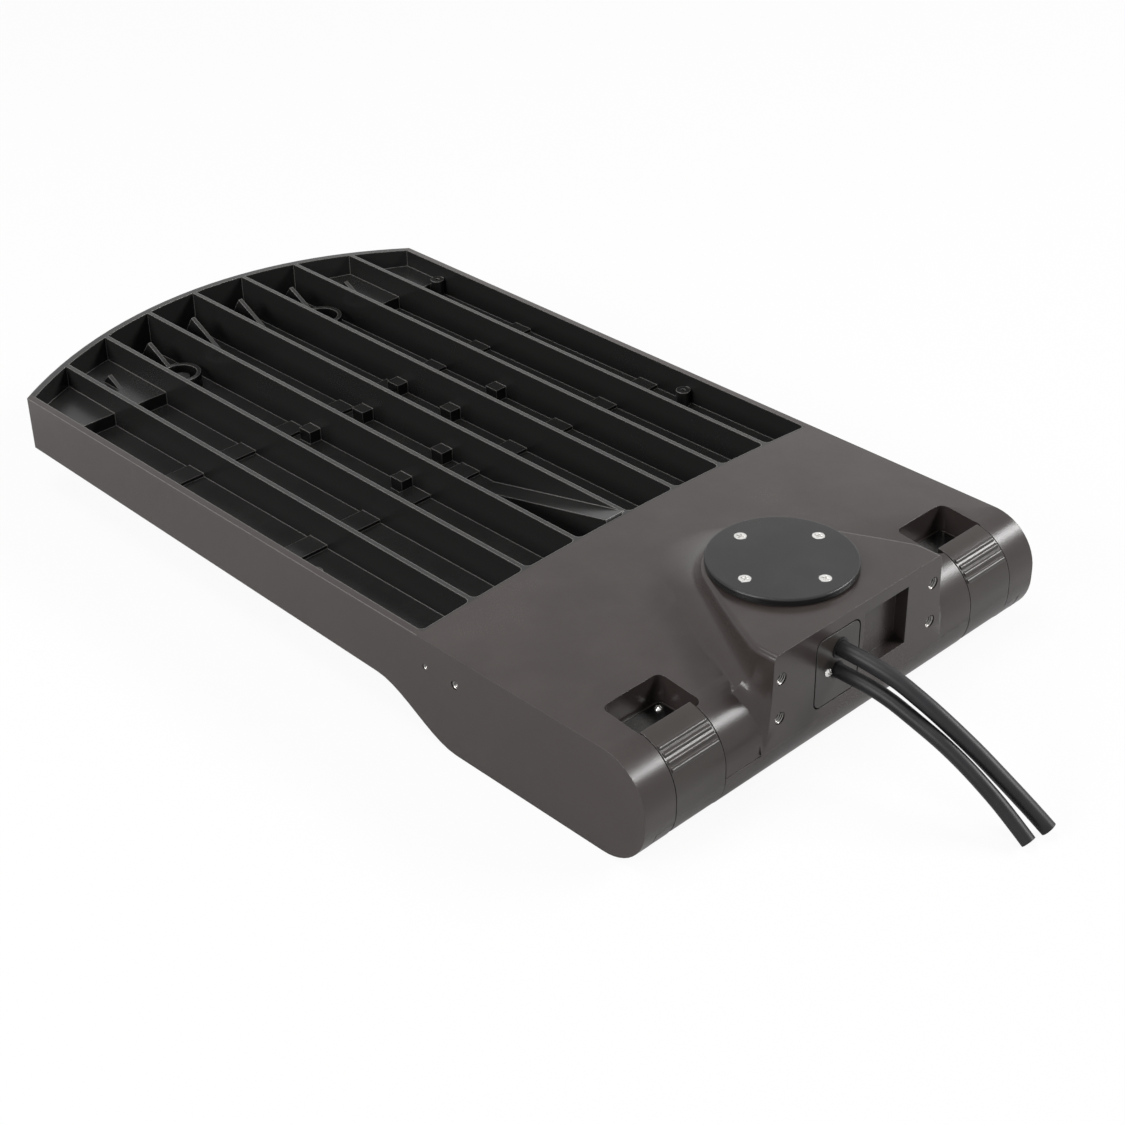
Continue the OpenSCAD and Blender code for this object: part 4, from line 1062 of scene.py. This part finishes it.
@dataclass
class Threads:
    """The cut threads in the bores of the housing.

    Sizes are in metres. lead_in and height are shares of the pitch.
    """

    looks: Looks
    steps: int = 28
    crease: float = 25.0
    merge: float = 2e-6
    lead_in: float = 0.4
    height: float = 0.54
    arm_across: float = 0.0655
    arm_up: float = 0.0131
    arm_level: float = 0.0631
    arm_radius: float = 0.00398
    arm_pitch: float = 0.00125
    arm_depth: float = 0.0135
    side_places: Span = (0.1486, 0.1737)
    side_radii: Span = (0.00298, 0.00208)
    side_level: float = 0.05
    side_pitch_share: float = 1 / 3
    side_depth: float = 0.0085

    def _face_inwards(self, shape: bmesh.types.BMesh, mouth: Vector, inward: Vector) -> None:
        """Turns a thread's faces towards the bore's axis.

        Args:
            shape: The thread.
            mouth: Middle of the bore's mouth.
            inward: Direction into the bore.
        """
        bmesh.ops.recalc_face_normals(shape, faces=shape.faces)
        face = shape.faces[0]
        reach = mouth - face.calc_center_median()
        if face.normal.dot(reach - reach.project(inward)) < 0:
            bmesh.ops.reverse_faces(shape, faces=shape.faces)

    def _thread(self, name: str, mouth: Vector, inward: Vector, cut: Point) -> None:
        """Spins one thread's flanks down a bore.

        Args:
            name: Name of the piece.
            mouth: Middle of the bore's mouth.
            inward: Direction into the bore.
            cut: The thread's outer radius, its pitch and its depth.
        """
        radius, pitch, depth = cut
        side = inward.orthogonal().normalized()
        start = mouth + inward * pitch * self.lead_in
        inner = radius - pitch * self.height
        profile = (
            start + side * radius,
            start + side * inner + inward * pitch / 2,
            start + side * radius + inward * pitch,
        )
        turns = int(depth / pitch) - 1
        shape = bmesh.new()
        verts = [shape.verts.new(point) for point in profile]
        edges = [shape.edges.new(pair) for pair in zip(verts, verts[1:])]
        bmesh.ops.spin(
            shape, geom=[*verts, *edges], cent=mouth, axis=inward, dvec=inward * pitch / self.steps,
            angle=math.tau * turns, steps=self.steps * turns, use_merge=False,
        )
        bmesh.ops.remove_doubles(shape, verts=shape.verts, dist=self.merge)
        self._face_inwards(shape, mouth, inward)
        piece = finish_mesh(shape, name, self.crease)
        show(piece, self.looks.thread)
        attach(piece, HOUSING)

    def build(self) -> None:
        """Cuts the threads of the arm's bolts and of the side screws."""
        cut = (self.arm_radius, self.arm_pitch, self.arm_depth)
        corners = [(x, z) for x in (-self.arm_across, self.arm_across) for z in (-self.arm_up, self.arm_up)]
        for i, (x, z) in enumerate(corners):
            mouth = Vector((x, REAR, self.arm_level + z))
            self._thread(f"arm_thread_{i + 1}", mouth, Vector((0, 1, 0)), cut)
        for side in Side:
            for radius, y in zip(self.side_radii, self.side_places):
                mouth = Vector((side.value * SIDE_FACE, y + REAR, self.side_level))
                name = f"side_thread_{side.name.lower()}_{radius * 1000:.0f}"
                cut = (radius, radius * self.side_pitch_share, self.side_depth)
                self._thread(name, mouth, Vector((-side.value, 0, 0)), cut)
        LOG.info("threads")


@dataclass
class Fittings:
    """The CAD nodes that stay as they are, with their finishes."""

    looks: Looks

    def build(self) -> None:
        """Dresses each node."""
        looks = self.looks
        finishes = {
            "hinge_pins": looks.pins,
            "latch_pins": looks.pins,
            "door_gasket": looks.rubber,
            "led_boards": looks.board,
            "lens_gaskets": looks.rubber,
            "lens_plates": looks.lens,
            "lens_screws": looks.screws,
            "driver": looks.case,
            "gear_tray": looks.zinc,
            "driver_screws": looks.screws,
            "tray_screws": looks.screws,
            "surge_protector": looks.surge,
            "terminal_block": looks.nylon,
            "ground_screw": looks.green,
            "duct_grommet": looks.rubber,
            "led_leads": looks.red,
            "mains_leads": looks.lead_green,
            "driver_leads": looks.black,
            "dimming_leads": looks.violet,
        }
        for node, material in finishes.items():
            show(frame["nodes"][node], material)
            LOG.info(node)


# Routes in millimetres from the boss's rear face, as in the part's source
POWER_ROUTE = (
    (-16.6, 20, 72.4), (-16.6, -6, 72.4), (-15.8, -16, 71.6), (-14.2, -27, 69.4), (-12.2, -38, 66),
    (-10.4, -48, 61.4), (-8.4, -58, 56.2), (-6.4, -68, 50.4), (-4.4, -78, 44.2), (-2.2, -88, 37.4),
    (0, -98, 30), (2.4, -108, 22.2), (5, -118, 14), (8, -129, 4.4),
)
DIMMING_ROUTE = (
    (-18.4, 20, 58.6), (-18.4, -6, 58.6), (-18.2, -16, 58.4), (-17.4, -27, 57.2), (-16.4, -38, 54.6),
    (-15.6, -48, 51.2), (-14.8, -58, 47.6), (-14, -68, 43.8), (-13, -78, 39), (-12, -88, 33.4),
    (-11, -98, 27), (-10, -108, 20), (-9, -118, 12), (-8.2, -127.5, 4.2),
)
POWER_DIAMETER = 0.0096
DIMMING_DIAMETER = 0.0088


def main() -> None:
    """Builds the studio and every sub-assembly in order."""
    logging.basicConfig(level=logging.INFO, format="%(message)s")
    Studio().build()
    looks = Looks()
    power_cores = (looks.black, looks.core_white, looks.lead_green)
    dimming_cores = (looks.violet, looks.red)
    for name, node, route, diameter, cores in (
        ("power_cord", "power_cable", POWER_ROUTE, POWER_DIAMETER, power_cores),
        ("dimming_cord", "dimming_cable", DIMMING_ROUTE, DIMMING_DIAMETER, dimming_cores),
    ):
        Cable(name, node, route, diameter, looks.sheath, looks.copper, cores).build()
    Shell(looks).build()
    Threads(looks).build()
    Fittings(looks).build()


if __name__ == "__main__":
    main()
